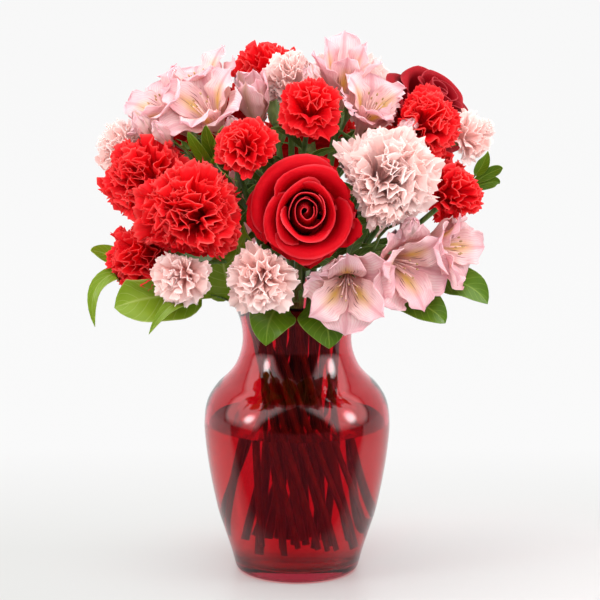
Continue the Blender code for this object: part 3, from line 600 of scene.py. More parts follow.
def materials():
    """Every finish of the bouquet, by the name of its part. The blown glass is glossy and coloured
    through, with faint waves from the mould. The tap water is clear, with the faintest ripple."""
    return {
        RED: petal_material("carnation_petal_red", CARNATION_REDS, "#f01626", 0.46, 0.62, CARNATION_VEINS),
        PINK: petal_material("carnation_petal_pink", CARNATION_PINKS, "#ffe3de", 0.5, 0.62, CARNATION_VEINS),
        DEEP_RED: petal_material("rose_petal_red", ROSE_REDS, "#c20014", 0.36, 0.6, ROSE_VEINS),
        "rose_deep": petal_material("rose_petal_deep_red", ROSE_DEEP_REDS, "#8c0010", 0.3, 0.6, ROSE_VEINS),
        "lily_outer": tepal_material("alstroemeria_tepal", False, KEEL_PINK, 9.0),
        "lily_inner": tepal_material("alstroemeria_streaked_tepal", True, KEEL_PINK, 9.0),
        "lily_bud": tepal_material("alstroemeria_bud_tepal", False, "#a8873c", 4.5),
        "filament": skin_material("stamen_filament", "#f6dcd6", "#e8b4b4", 0.5),
        "anther": skin_material("stamen_anther", "#c9a878", "#96704c", 0.8, POLLEN_GRAIN),
        "stem": skin_material("fresh_stem", "#5f8038", "#3c5a22", 0.42),
        "calyx": skin_material("calyx_green", "#86a35c", "#5d7c3a", 0.5),
        "leaf": leaf_material("salal_leaf", "#5e8210", "#3c5e06", "#7e9a34", 0.3, 0.26),
        # A lighter, yellower copy of the salal leaf: painted light for the leaves of salal_left.
        "sunlit_leaf": leaf_material("salal_leaf_sunlit", "#a8c03c", "#7c9e20", "#bccc6c", 0.3, 0.5),
        "blade_leaf": leaf_material("stem_leaf", "#5c8024", "#3a5e16", "#86a450", 0.42, 0.25),
        "glass": clear_material("ruby_glass", RUBY, GLASS_IOR, GLASS_WAVE, 1.0, GLASS_BUMP, "#ee9aa0"),
        "water": clear_material(
            "vase_water", ((0.0, "#fbeff0"),), WATER_IOR, WATER_RIPPLE, 2.0, WATER_BUMP, "#ffffff"
        ),
    }


# ---- working the meshes ----


def begun(primitive, **settings):
    """A new object from an operator that adds it, with nothing else selected."""
    bpy.ops.object.select_all(action="DESELECT")
    primitive(**settings)
    return bpy.context.object


def picked(*pieces):
    """Select these pieces alone, with the first one active."""
    bpy.ops.object.select_all(action="DESELECT")
    for piece in pieces:
        piece.select_set(True)
    bpy.context.view_layer.objects.active = pieces[0]


def joined(pieces):
    """The pieces as one."""
    picked(*pieces)
    if len(pieces) > 1:
        bpy.ops.object.join()
    return pieces[0]


def thickened(piece, thickness):
    """Give a thin surface its thickness, half to each side."""
    picked(piece)
    step = piece.modifiers.new("solidify", "SOLIDIFY")
    step.thickness = thickness
    step.offset = 0.0
    bpy.ops.object.modifier_apply(modifier=step.name)


def settled(piece, name, nodes):
    """Finish a piece: turn it to metres, smooth it, and let it stand for its solids."""
    piece.name = name
    piece.data.name = name
    piece.data.transform(Matrix.Diagonal((MM, MM, MM, 1.0)))
    picked(piece)
    bpy.ops.object.shade_smooth_by_angle(angle=math.radians(SMOOTH_ANGLE))
    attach(piece, "root")
    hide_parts(*nodes)


def drawn_up(profile, sides):
    """A round piece: a circle drawn through radius and height pairs, and closed at both ends."""
    radius, height = profile[0]
    circle = {"vertices": sides, "radius": radius, "location": (0, 0, height)}
    piece = begun(bpy.ops.mesh.primitive_circle_add, **circle)
    bpy.ops.object.transform_apply(location=True, rotation=False, scale=False)
    bpy.ops.object.mode_set(mode="EDIT")
    bpy.ops.mesh.select_all(action="SELECT")
    bpy.ops.mesh.edge_face_add()
    for (before, low), (after, high) in zip(profile, profile[1:]):
        bpy.ops.mesh.extrude_region_move(TRANSFORM_OT_translate={"value": (0, 0, high - low)})
        share = after / before
        bpy.ops.transform.resize(value=(share, share, 1), center_override=(0, 0, high))
    bpy.ops.mesh.select_all(action="SELECT")
    bpy.ops.mesh.normals_make_consistent(inside=False)
    bpy.ops.object.mode_set(mode="OBJECT")
    return piece


def smooth_line(points, steps):
    """A row of points with an even curve drawn through it."""
    row = [np.array(point, float) for point in points]
    row = [2 * row[0] - row[1], *row, 2 * row[-1] - row[-2]]
    line = []
    for first, second, third, fourth in zip(row, row[1:], row[2:], row[3:]):
        for step in range(steps):
            t = step / steps
            turn = second * 2 + (third - first) * t + (first * 2 - second * 5 + third * 4 - fourth) * t * t
            line.append((turn + (second * 3 - first - third * 3 + fourth) * t ** 3) / 2)
    return line + [row[-2]]


def tube(lines, finish, resolution=1):
    """Round stalks along rows of points, each row with its own radii."""
    piece = begun(bpy.ops.curve.primitive_nurbs_path_add)
    curve = piece.data
    curve.splines.clear()
    curve.bevel_depth = 1.0
    curve.bevel_resolution = resolution
    curve.use_fill_caps = True
    for points, radii in lines:
        spline = curve.splines.new("POLY")
        spline.points.add(len(points) - 1)
        for knot, point, radius in zip(spline.points, points, radii):
            knot.co = (*point, 1.0)
            knot.radius = radius
    picked(piece)
    bpy.ops.object.convert(target="MESH")
    return dressed(bpy.context.object, finish)


def dressed(piece, finish, tone=0.5):
    """Give a piece its finish, and write how far it drifts from the usual colour."""
    piece.data.materials.clear()
    piece.data.materials.append(finish)
    mark = piece.data.attributes.get("tone") or piece.data.attributes.new("tone", "FLOAT", "POINT")
    mark.data.foreach_set("value", np.full(len(piece.data.vertices), tone, np.float32))
    return piece


def duplicate(piece):
    """A copy of a piece with its own mesh."""
    copy = piece.copy()
    copy.data = piece.data.copy()
    bpy.context.scene.collection.objects.link(copy)
    return copy


Flat = namedtuple("Flat", "piece across along columns")


def flat_petal(name, columns, rows):
    """A flat petal or leaf to shape: across runs from -1 to 1, and along from its foot to its tip."""
    grid = {"x_subdivisions": columns, "y_subdivisions": rows, "size": 2}
    piece = begun(bpy.ops.mesh.primitive_grid_add, **grid)
    piece.name = name
    spots = np.array([corner.co[:] for corner in piece.data.vertices])
    numbers = np.rint((spots[:, 0] + 1) / 2 * columns).astype(int)
    return Flat(piece, spots[:, 0], (spots[:, 1] + 1) / 2, numbers)


def shaped(flat, points, finish, tone):
    """A copy of the flat petal with every corner carried to its place."""
    copy = duplicate(flat.piece)
    copy.data.vertices.foreach_set("co", points.astype(np.float32).ravel())
    return dressed(copy, finish, tone)


def bezier(knots, share):
    """Points of a curve through its control points, at each share of the way."""
    share = share[:, None]
    left = 1 - share
    knots = [np.array(knot, float) for knot in knots]
    if len(knots) == 3:
        weights = (left ** 2, 2 * share * left, share ** 2)
    else:
        weights = (left ** 3, 3 * share * left ** 2, 3 * share ** 2 * left, share ** 3)
    return sum(weight * knot for weight, knot in zip(weights, knots))


def upward(knots, share):
    """The normal of a flat curve at each share of the way, on the side of the head's axis."""
    step = bezier(knots, np.clip(share + 0.01, 0, 1.02)) - bezier(knots, share - 0.01)
    step /= np.linalg.norm(step, axis=1)[:, None]
    return np.stack((-step[:, 1], step[:, 0]), axis=1)


def eased(values, start, end):
    """How far values have come from a start to an end, from 0 to 1."""
    return np.clip((values - start) / (end - start), 0, 1)


# ---- where the heads and the stems stand ----


def facing(head):
    """The unit vector along a head's axis."""
    azimuth = math.radians(head.azimuth)
    tilt = math.radians(head.tilt)
    return Vector((math.sin(azimuth) * math.cos(tilt), -math.cos(azimuth) * math.cos(tilt), math.sin(tilt)))


def turn_of(head):
    """The head's own axes, as the columns of a matrix."""
    axis = facing(head)
    across = Vector(UP).cross(axis).normalized()
    return np.array((across[:], axis.cross(across)[:], axis[:])).T


def neighbours(plant, head):
    """The heads that press on a head. Florets of one lily don't: their solids are one."""
    found = []
    for owner in PLANTS:
        for other in owner.heads:
            reach = (head.radius + other.radius) * FULLNESS
            near = (Vector(other.centre) - Vector(head.centre)).length < reach
            fused = owner is plant and plant.kind is LILY
            if other is not head and near and not fused:
                found.append(other)
    return found


def carried(points, head, others, fullness=1.0):
    """Points drawn about a head's axis, carried to the head and bent back from its neighbours."""
    points = points * fullness @ turn_of(head).T + np.array(head.centre, float)
    room = PRESS_START - PRESS_LEFT
    for other in others:
        apart = np.subtract(other.centre, head.centre).astype(float)
        gap = np.linalg.norm(apart)
        plane = gap * head.radius / (head.radius + other.radius)
        wave = PRESS_WAVE * np.sin(points @ PRESS_WAVES)
        left = plane + wave - (points - head.centre) @ (apart / gap)
        kept = PRESS_LEFT + room * np.exp((np.minimum(left, PRESS_START) - PRESS_START) / room)
        points = points + np.where(left < PRESS_START, left - kept, 0.0)[:, None] * (apart / gap)
        back = DRAW_BACK * np.clip(-left / DRAW_BACK_DEPTH, 0, 1)
        points = points + (head.centre - points) * back[:, None]
    return points


def radius_at(height):
    """The vase's outer radius at a height."""
    for (low_radius, low), (high_radius, high) in zip(VASE_OUTLINE, VASE_OUTLINE[1:]):
        if height <= high:
            return low_radius + (high_radius - low_radius) * (height - low) / (high - low)
    return VASE_OUTLINE[-1][0]


def room_at(height):
    """The radius inside the glass at a height."""
    return (radius_at(height) - GLASS_WALL) * math.cos(math.pi / VASE_SIDES)


def neck_places():
    """Where each stem passes the neck: under its flowers, the low ones outside, and none on another."""
    places = []
    for plant in PLANTS:
        goal = plant.tip or [sum(axis) / len(plant.heads) for axis in zip(*(h.centre for h in plant.heads))]
        away = math.hypot(goal[0], goal[1])
        out = NECK_ROOM * min(1.0, max(0.1, (NECK_CENTRE_HEIGHT - goal[2]) / NECK_CENTRE_FALL))
        places.append((goal[0] / away * out, goal[1] / away * out))
    places = np.array(places)
    for _ in range(NECK_ROUNDS):
        gaps = places[:, None] - places[None]
        apart = np.hypot(gaps[..., 0], gaps[..., 1]) + np.eye(len(places)) * 100
        short = np.clip(NECK_SPACING - apart, 0, None) / apart
        places = places + NECK_PUSH * (gaps * short[..., None]).sum(axis=1)
        away = np.hypot(places[:, 0], places[:, 1])
        places *= np.minimum(1.0, NECK_ROOM / away)[:, None]
    return places


def stick_point(place, height):
    """The point of a slanted stick at a height: the sticks turn and spread as they go down."""
    down = (NECK_HEIGHT - height) / SPIRAL_DROP
    turn = math.radians(SPIRAL_TURN)
    along = 1 - down + SPIRAL_SPREAD * down * math.cos(turn)
    across = SPIRAL_SPREAD * down * math.sin(turn)
    return Vector((along * place[0] - across * place[1], across * place[0] + along * place[1], height))


def stick_end(place, radius, rng):
    """The foot of a stick: as deep as its cut end may go without touching the glass."""
    height = rng.uniform(*STEM_ENDS)
    while True:
        point = stick_point(place, height)
        if math.hypot(point.x, point.y) + radius + GLASS_CLEARANCE < room_at(height):
            return point
        height += 1.0


def first_route(start, way, end, axis):
    """An even curve from the neck to a calyx before it makes way for the others."""
    bow = ROUTE_BOW * (end - start).length
    knots = (start, start + way * bow, end - axis * bow, end)
    return [Vector(point) for point in bezier(knots, np.linspace(0, 1, ROUTE_POINTS))]


Route = namedtuple("Route", "plant head points radii root")


def base_of(head, kind):
    """The foot of a head's calyx."""
    return Vector(head.centre) - facing(head) * (kind.depth * head.radius + FIT_GAP + kind.calyx)


def lay_routes(places):
    """The first course of every stem and side stalk above the neck."""
    routes = []
    for number, (plant, place) in enumerate(zip(PLANTS, places)):
        start = stick_point(place, NECK_HEIGHT)
        way = (start - stick_point(place, WATER_LEVEL)).normalized()
        thick = plant.kind.stem
        if plant.tip:
            end = Vector(plant.tip)
            points = first_route(start, way, end, (end - start).normalized())
            routes.append(Route(number, None, points, [thick] * ROUTE_POINTS, None))
        for index, head in enumerate(plant.heads):
            if index == 0:
                root = None
                main = len(routes)
            else:
                root = (main, ROUTE_FORK)
                start, after = routes[main].points[ROUTE_FORK : ROUTE_FORK + 2]
                way = (after - start).normalized()
            points = first_route(start, way, base_of(head, plant.kind), facing(head))
            radii = [thick] * (ROUTE_POINTS - 3) + [thick + 1.0] * 2 + [plant.kind.mouth]
            routes.append(Route(number, head, points, radii, root))
    return routes


def off_stems(flat, need):
    """Points pushed out of the stems that come nearer than they need."""
    squares = (flat ** 2).sum(axis=1)
    apart = np.sqrt(np.clip(squares[:, None] + squares[None] - 2 * flat @ flat.T, 1e-6, None))
    short = np.clip(need - apart, 0, None) / apart
    return flat + ROUTE_PUSH * (flat * short.sum(axis=1)[:, None] - short @ flat)


def head_field(routes, radii):
    """What the stems' points keep clear of: the heads, their axes, how far down each is full, and the
    room that each point needs beside each head, which is none beside its own."""
    heads = [(head, plant.kind) for plant in PLANTS for head in plant.heads]
    centres = np.array([head.centre for head, _ in heads], float)
    axes = np.array([facing(head)[:] for head, _ in heads])
    floors = np.array([-kind.depth * head.radius - 1.0 for head, kind in heads])
    sizes = np.array([head.radius for head, _ in heads], float)
    own = np.array([[route.head is head for head, _ in heads] for route in routes])
    reach = sizes[None] + radii[:, None] + ROUTE_HEAD_SPACING
    return centres, axes, floors, np.where(np.repeat(own, ROUTE_POINTS, axis=0), 0.0, reach)


def off_heads(flat, centres, axes, floors, reach):
    """Points pushed out of the heads."""
    offsets = flat[:, None] - centres[None]
    away = np.linalg.norm(offsets, axis=2)
    ahead = np.einsum("ijk,jk->ij", offsets, axes) > floors[None]
    inside = np.where(ahead, np.clip(reach - away, 0, None), 0.0) / np.maximum(away, 1e-6)
    return flat + ROUTE_HEAD_PUSH * (offsets * inside[..., None]).sum(axis=1)


def off_glass(flat, radii):
    """Points below the rim drawn in from the glass."""
    rooms = np.array([room_at(height) for height in flat[:, 2]]) - radii - GLASS_CLEARANCE
    far = np.hypot(flat[:, 0], flat[:, 1])
    tight = (flat[:, 2] < RIM_HEIGHT) & (far > rooms)
    flat[:, :2] *= np.where(tight, rooms / np.maximum(far, 1e-6), 1.0)[:, None]
    return flat


def relax_routes(routes):
    """Move the stems apart, and clear of the heads and the rim, while they stay even curves."""
    points = np.array([[point[:] for point in route.points] for route in routes])
    fixed = points.copy()
    radii = np.array([route.radii for route in routes], float).reshape(-1)
    owners = np.repeat([route.plant for route in routes], ROUTE_POINTS)
    need = radii[:, None] + radii[None] + ROUTE_SPACING
    need = np.where(owners[:, None] == owners[None], 0.0, need)
    field = head_field(routes, radii)
    for _ in range(ROUTE_ROUNDS):
        points[:, 1:-1] += ROUTE_EASE * ((points[:, :-2] + points[:, 2:]) / 2 - points[:, 1:-1])
        flat = off_heads(off_stems(points.reshape(-1, 3), need), *field)
        points = off_glass(flat, radii).reshape(points.shape)
        points[:, [0, -1]] = fixed[:, [0, -1]]
        for index, route in enumerate(routes):
            if route.root:
                points[index, 0] = points[route.root]
            else:
                points[index, 1] = fixed[index, 1]
            if route.head:
                points[index, -2] = fixed[index, -2]
    return points


# ---- the flowers ----

# Open flowers press together, so each stands a little fuller than its solid.
FULLNESS = 1.15
ROSE_FULLNESS = 1.1
BLOWN_FULLNESS = 1.22
LILY_FULLNESS = 1.2

# Real petals are thinner. These hold their shape in the render.
CARNATION_THICKNESS = 0.32
PETAL_THICKNESS = 0.5
SEPAL_THICKNESS = 0.6

# Each ring of a carnation: how far its petals lean from the axis, how many there are, and how wide they
# fan out as a share of the head's radius.
Ring = namedtuple("Ring", "lean petals fan")
CARNATION_RINGS = (
    Ring(104, 8, 0.46), Ring(90, 9, 0.46), Ring(75, 9, 0.45), Ring(60, 9, 0.42),
    Ring(45, 8, 0.38), Ring(31, 6, 0.33), Ring(18, 4, 0.28), Ring(6, 3, 0.24),
)
SPRAY_RINGS = (Ring(98, 7, 0.54), Ring(74, 7, 0.50), Ring(50, 6, 0.42), Ring(28, 5, 0.34), Ring(9, 3, 0.26))

# The flat petal, the rings, and the head's radius at which the rings hold their own count of petals. A
# bigger head holds more petals of the same size.
CARNATION_FORMS = {CARNATION: ("carnation", CARNATION_RINGS, 30), SPRAY: ("spray", SPRAY_RINGS, 21)}


def turned(points, degrees):
    """Points turned about the head's axis."""
    angle = math.radians(degrees)
    cosine, sine = math.cos(angle), math.sin(angle)
    return points @ np.array(((cosine, sine, 0), (-sine, cosine, 0), (0, 0, 1)))


def ripple(across, beats, rng):
    """A wave across a petal: so many beats, from anywhere in its turn."""
    return np.sin(TURN * rng.uniform(*beats) * across + rng.uniform(*PHASE))


def carnation_petal(flat, head, lean, turn, fan, rng):
    """A fan with a toothed edge on a narrow claw, crimped more and more towards its edge."""
    across, along = flat.across, flat.along
    slope = math.radians(lean)
    tip = np.array((math.sin(slope), math.cos(slope))) * rng.uniform(0.80, 1.08)
    knots = ((0.05, -0.46), (0.30 * math.sin(slope), 0.10 + 0.52 * max(0.0, math.cos(slope))), tip)
    columns = range(flat.columns.max() + 1)
    teeth = np.array([rng.uniform(0, 0.035) + 0.03 * (number % 2) for number in columns])
    notch = 0.12 * rng.random() * np.exp(-((across - rng.uniform(-0.5, 0.5)) / 0.12) ** 2)
    share = along * (1 - 0.20 * across ** 2 - along ** 3 * (teeth[flat.columns] + notch))
    middle = bezier(knots, share)
    normal = upward(knots, share)
    fold = 1.15 + 0.45 * max(0.0, 1 - lean / 90)
    crimp = 0.10 * fold * share ** 2 * ripple(across, (0.7, 1.4), rng)
    crimp += 0.040 * fold * share ** 4 * ripple(across, (2.0, 3.2), rng)
    crimp += rng.uniform(-0.08, 0.10) * across ** 2 * share
    middle = middle + normal * crimp[:, None]
    side = across * (0.06 + fan * share ** 1.3)
    points = np.stack((middle[:, 0], side, middle[:, 1]), axis=1)
    points *= np.minimum(1.0, 1.08 / np.maximum(np.linalg.norm(points, axis=1), 1e-6))[:, None]
    return turned(points * head.radius, turn)


def carnation(plant, head, name, flats, finishes, rng):
    """A full head of crimped petals, ring above ring."""
    flat, rings, usual = CARNATION_FORMS[plant.kind]
    flat = flats[flat]
    others = neighbours(plant, head)
    fuller = head.radius / usual
    petals = []
    for ring in rings:
        first = rng.uniform(0, 360)
        count = round(ring.petals * fuller)
        for number in range(count):
            turn = first + 360 * number / count + rng.uniform(-9, 9)
            lean = ring.lean + rng.uniform(-10, 10)
            points = carnation_petal(flat, head, lean, turn, ring.fan / math.sqrt(fuller), rng)
            points = carried(points, head, others, FULLNESS)
            petals.append(shaped(flat, points, finishes[plant.colour], rng.random()))
    bloom = joined(petals)
    thickened(bloom, CARNATION_THICKNESS)
    settled(bloom, name, [name.removesuffix("_bloom")])


# Each petal of a rose, from the bud out: its midline from the claw to the rim as radius and height in
# shares of the head's radius, half the angle that it wraps, and how far its rim rolls back.
Furl = namedtuple("Furl", "knots wrap roll")


def furls(count, rims, heights, waist, hugs, lifts, wrap, roll):
    """A run of petals from the first to the last: each hugs the bud, then opens to its rim."""
    made = []
    for number in range(count):
        share = number / (count - 1)
        rim, height, hug, lift = (low + (high - low) * share for low, high in (rims, heights, hugs, lifts))
        made.append(Furl(((0.10, -0.54), (waist, -0.44), (hug, lift), (rim, height)), wrap, roll))
    return made


ROSE_FURLS = (
    furls(3, (0.03, 0.09), (0.46, 0.51), 0.24, (0.15, 0.18), (0.24, 0.28), 130, 0.0)
    + furls(4, (0.14, 0.27), (0.53, 0.55), 0.34, (0.17, 0.24), (0.30, 0.36), 98, 0.03)
    + furls(3, (0.36, 0.46), (0.54, 0.49), 0.40, (0.25, 0.29), (0.42, 0.42), 86, 0.08)
    + furls(3, (0.62, 0.73), (0.43, 0.34), 0.50, (0.33, 0.38), (0.42, 0.38), 80, 0.15)
    + furls(3, (0.86, 0.96), (0.19, 0.08), 0.58, (0.46, 0.52), (0.32, 0.24), 78, 0.17)
    + furls(3, (1.02, 1.06), (-0.04, -0.16), 0.62, (0.56, 0.60), (0.16, 0.07), 72, 0.14)
)
GOLDEN_ANGLE = 137.5


def rolled(flat, furl, share, opened, rng):
    """The midlines of a rose petal, with its rim rolled back and its face gently waved."""
    across = flat.across
    shoulder = np.abs(across)
    middle = bezier(furl.knots, share)
    normal = upward(furl.knots, share)
    lip = eased(flat.along, 0.74, 1.0) ** 2 * (0.35 + 1.3 * shoulder ** 1.5 * (1 - shoulder ** 3))
    middle = middle - normal * (furl.roll * rng.uniform(0.7, 1.5) * lip)[:, None]
    sag = 0.055 * opened * np.sin(3.9 * across + rng.uniform(*PHASE)) * share ** 2
    sag += 0.022 * opened * np.sin(9.0 * across + rng.uniform(*PHASE)) * share ** 4
    sag -= 0.07 * opened * shoulder ** 3 * share
    middle = middle + normal * sag[:, None]
    return middle * (1 + rng.uniform(-0.05, 0.04) * share[:, None])


def rose_petal(flat, head, furl, turn, rng):
    """A cupped petal with a pointed rim that rolls back at its shoulders, one side under the next petal.
    The shut petals in the heart stand in an oval, and the open ones slip to one side."""
    across, along = flat.across, flat.along
    opened = furl.knots[3][0]
    shoulder = np.abs(across)
    drop = (0.06 + 0.34 * opened) * rng.uniform(0.8, 1.2)
    share = along * (1 - drop * shoulder ** 2.6)
    middle = rolled(flat, furl, share, opened, rng)
    radius = middle[:, 0] * (1 - (0.04 + 0.10 * opened) * shoulder ** 3) + across * 0.03
    width = 0.42 + 0.58 * np.sin(eased(share, 0, 0.72) * math.pi / 2)
    angle = np.radians(turn + furl.wrap * rng.uniform(0.88, 1.12) * across * width)
    lean = rng.uniform(*PHASE)
    off = 0.06 * min(1.0, opened * 2) * share
    tight = max(0.0, 1 - opened / 0.6)
    slip = 0.08 * opened * share
    spots = (
        radius * np.cos(angle) * (1 - 0.2 * tight) + off * math.cos(lean) + slip,
        radius * np.sin(angle) * (1 + 0.08 * tight) + off * math.sin(lean) - 0.8 * slip,
    )
    return np.stack((*spots, middle[:, 1]), axis=1) * head.radius


def rose(plant, head, name, flats, finishes, rng):
    """A rose, from its furled bud to its open guard petals. The one on the right is blown and darker."""
    blown = plant.name == "rose_right"
    finish = finishes["rose_deep" if blown else plant.colour]
    fullness = BLOWN_FULLNESS if blown else ROSE_FULLNESS
    others = neighbours(plant, head)
    petals = []
    for number, furl in enumerate(ROSE_FURLS):
        turn = number * GOLDEN_ANGLE + rng.uniform(-8, 8)
        points = carried(rose_petal(flats["rose"], head, furl, turn, rng), head, others, fullness)
        petals.append(shaped(flats["rose"], points, finish, rng.random()))
    bloom = joined(petals)
    thickened(bloom, PETAL_THICKNESS)
    settled(bloom, name, [name.removesuffix("_bloom")])


# The midrib and the greatest half width of the outer and the inner tepals, as shares of the radius. A
# floret that is still opening holds its tepals up round its throat, and a bud keeps them shut.
Tepal = namedtuple("Tepal", "knots half finish")
OPEN = (
    Tepal(((0.05, -0.82), (0.20, -0.25), (0.50, 0.26), (1.00, 0.14)), 0.47, "lily_outer"),
    Tepal(((0.05, -0.82), (0.12, -0.15), (0.36, 0.32), (0.86, 0.42)), 0.30, "lily_inner"),
)
RISING = (
    Tepal(((0.05, -0.82), (0.30, -0.28), (0.48, 0.30), (0.86, 0.56)), 0.33, "lily_outer"),
    Tepal(((0.05, -0.82), (0.22, -0.28), (0.34, 0.30), (0.50, 0.70)), 0.25, "lily_inner"),
)
HALF_OPEN = (
    Tepal(((0.05, -0.82), (0.42, -0.28), (0.52, 0.40), (0.46, 1.02)), 0.42, "lily_bud"),
    Tepal(((0.05, -0.82), (0.30, -0.28), (0.34, 0.36), (0.30, 0.96)), 0.30, "lily_inner"),
)
SHUT = (
    Tepal(((0.05, -0.95), (0.44, -0.40), (0.38, 0.60), (0.06, 1.04)), 0.36, "lily_bud"),
    Tepal(((0.05, -0.95), (0.38, -0.40), (0.32, 0.55), (0.05, 0.98)), 0.30, "lily_outer"),
)
TOWARDS_FRONT = 270
OPENING = {("lily_top_centre", 0): HALF_OPEN, ("lily_top_right", 0): RISING}

# The buds that stand beside the open florets, each on its own stalk.
BUDS = {
    "lily_top_left": (
        Head((-104, -34, 321), -60, 60, 12), Head((-42, -50, 320), -20, 60, 13),
        Head((-90, -46, 319), -50, 50, 11),
    ),
    "lily_top_right": (Head((72, -52, 320), 40, 50, 13), Head((10, -30, 352), -20, 75, 12)),
    "lily_low_right": (Head((74, -88, 262), 20, 40, 12),),
    "lily_back": (Head((20, 92, 262), 165, 30, 13),),
}
BUD_STALK = 1.1
FILAMENT = [0.45] * 6 + [0.3]
ANTHER = (1.3, 0.65, 0.65)


def tepal_points(flat, head, tepal, turn, rng):
    """A spoon-shaped tepal with a folded keel, a blunt tip with a small point, and a frilled edge."""
    across, along = flat.across, flat.along
    shoulder = np.abs(across)
    blunt = eased(along, 0.5, 1.0)
    reach = along * rng.uniform(0.93, 1.03) * (1 - 0.05 * blunt * shoulder ** 2)
    reach = reach + 0.02 * np.clip(1 - shoulder * 3, 0, 1) * blunt ** 4
    middle = bezier(tepal.knots, reach)
    width = 0.05 + tepal.half * np.sin(eased(along, 0.16, 0.62) * math.pi / 2) ** 1.3
    width *= np.sqrt(1 - 0.96 * blunt ** 4)
    width *= 1 + 0.05 * np.sin(along * rng.uniform(24, 32) + 3 * np.sign(across))
    beat = along * rng.uniform(18, 25) + rng.uniform(*PHASE) + 2 * across
    lift = width * 0.24 * shoulder ** 2 + 0.075 * shoulder ** 2 * along * np.sin(beat)
    middle = middle + upward(tepal.knots, reach) * lift[:, None]
    points = np.stack((middle[:, 0], across * width, middle[:, 1]), axis=1)
    return turned(points * head.radius, turn)


def stamens(head, first, others, finishes, rng):
    """Six slender filaments that curve out of the throat, each with its anther."""
    lines = []
    anthers = []
    for number in range(6):
        turn = first + 60 * number + rng.uniform(-14, 14)
        knots = ((0.03, -0.75), (0.10, -0.10), (rng.uniform(0.16, 0.26), rng.uniform(0.26, 0.36)))
        middle = bezier(knots, np.linspace(0, 1, len(FILAMENT)))
        points = np.stack((middle[:, 0], middle[:, 0] * 0, middle[:, 1]), axis=1) * head.radius
        points = carried(turned(points, turn), head, others)
        lines.append((points, FILAMENT))
        ball = {"segments": 8, "ring_count": 6, "radius": 1.0, "location": points[-1]}
        anther = begun(bpy.ops.mesh.primitive_uv_sphere_add, **ball)
        anther.scale = ANTHER
        anther.rotation_euler = Vector(points[-1] - points[-3]).to_track_quat("X", "Z").to_euler()
        bpy.ops.object.transform_apply(location=True, rotation=True, scale=True)
        anthers.append(dressed(anther, finishes["anther"]))
    return [tube(lines, finishes["filament"])] + anthers


def lily_floret(plant, head, tepals, flats, finishes, rng):
    """One alstroemeria flower: three broad tepals and three streaked ones between them."""
    others = neighbours(plant, head)
    first = TOWARDS_FRONT if tepals is HALF_OPEN else rng.uniform(0, 120)
    petals = []
    for number in range(6):
        tepal = tepals[number % 2]
        points = tepal_points(flats["lily"], head, tepal, first + 60 * number + rng.uniform(-4, 4), rng)
        points = carried(points, head, others, LILY_FULLNESS)
        petals.append(shaped(flats["lily"], points, finishes[tepal.finish], rng.random()))
    bloom = joined(petals)
    thickened(bloom, PETAL_THICKNESS)
    return [bloom] + (stamens(head, first, others, finishes, rng) if tepals is OPEN else [])


def bud(plant, head, flats, finishes, rng):
    """A shut bud on a stalk that runs back to its plant's first flower."""
    pieces = lily_floret(plant, head, SHUT, flats, finishes, rng)
    foot = Vector(head.centre) - facing(head) * head.radius
    first = plant.heads[0]
    goal = Vector(first.centre) - facing(first) * first.radius * 1.5
    line = bezier((goal, foot - facing(head) * 14, foot + facing(head)), np.linspace(0, 1, 8))
    return pieces + [tube([(clear_of_heads(line, STALK_MARGIN), [BUD_STALK] * 8)], finishes["stem"])]


def lily(plant, flats, finishes):
    """A cluster of florets on one stem."""
    pieces = []
    for index, head in enumerate(plant.heads):
        tepals = OPENING.get((plant.name, index), OPEN)
        pieces += lily_floret(plant, head, tepals, flats, finishes, seeded(plant.name, index))
    for index, head in enumerate(BUDS.get(plant.name, ())):
        pieces += bud(plant, head, flats, finishes, seeded(plant.name, "bud", index))
    settled(joined(pieces), plant.name + "_bloom", [plant.name])


def seeded(*words):
    """A row of random draws of its own for each piece."""
    return random.Random(" ".join(str(word) for word in (*words, SEED)))


def flowers(finishes):
    """Every flower of the bouquet."""
    flats = {
        "carnation": flat_petal("carnation_petal", 22, 6),
        "spray": flat_petal("spray_petal", 18, 5),
        "rose": flat_petal("rose_petal", 18, 14),
        "lily": flat_petal("lily_tepal", 8, 20),
    }
    for plant in PLANTS:
        if plant.kind is LILY:
            lily(plant, flats, finishes)
            continue
        maker = rose if plant.kind is ROSE else carnation
        for index, head in enumerate(plant.heads):
            suffix = "" if len(plant.heads) == 1 else f"_{index + 1}"
            rng = seeded(plant.name, index)
            maker(plant, head, f"{plant.name}{suffix}_bloom", flats, finishes, rng)
    for flat in flats.values():
        bpy.data.objects.remove(flat.piece)


# ---- stems, calyxes and leaves ----

# The leaves in front turn their upper faces outwards to the light.
LEAF_TURN = np.array((0.0, -0.9, -0.1))
LEAF_STALK = 0.24
SIDE_LEAF_STALK = 0.10
LEAF_MARGIN = 1.2
STALK_MARGIN = 1.0
CALYX_SIDES = 20
LEAF_OUTLINE_PEAK = 0.514

# The leaves that a cut flower keeps on its stem: how many, how long, how wide, and where the lowest and
# the highest one leave the stem as shares of the way to the head.
SideLeaves = namedtuple("SideLeaves", "count length width low high")
SIDE_LEAVES = {
    ROSE: SideLeaves(5, 40, 22, 0.45, 0.90),
    CARNATION: SideLeaves(4, 42, 8, 0.45, 0.85),
    SPRAY: SideLeaves(5, 38, 8, 0.45, 0.90),
    LILY: SideLeaves(7, 44, 14, 0.40, 0.88),
}

# The length, the width and the spread of the five sepals that grip the foot of a head.
SEPALS = {ROSE: (15, 3.2, 5.0), CARNATION: (6, 2.4, 0.8), SPRAY: (6, 2.4, 0.8)}


def clear_of_heads(points, margin):
    """Bend a leaf's points out of the flower heads beside it."""
    for head in [head for plant in PLANTS for head in plant.heads] * 3:
        offset = points - np.array(head.centre, float)
        away = np.linalg.norm(offset, axis=1)[:, None]
        least = head.radius + margin
        points = np.where(away < least, head.centre + offset / away * least, points)
    return points


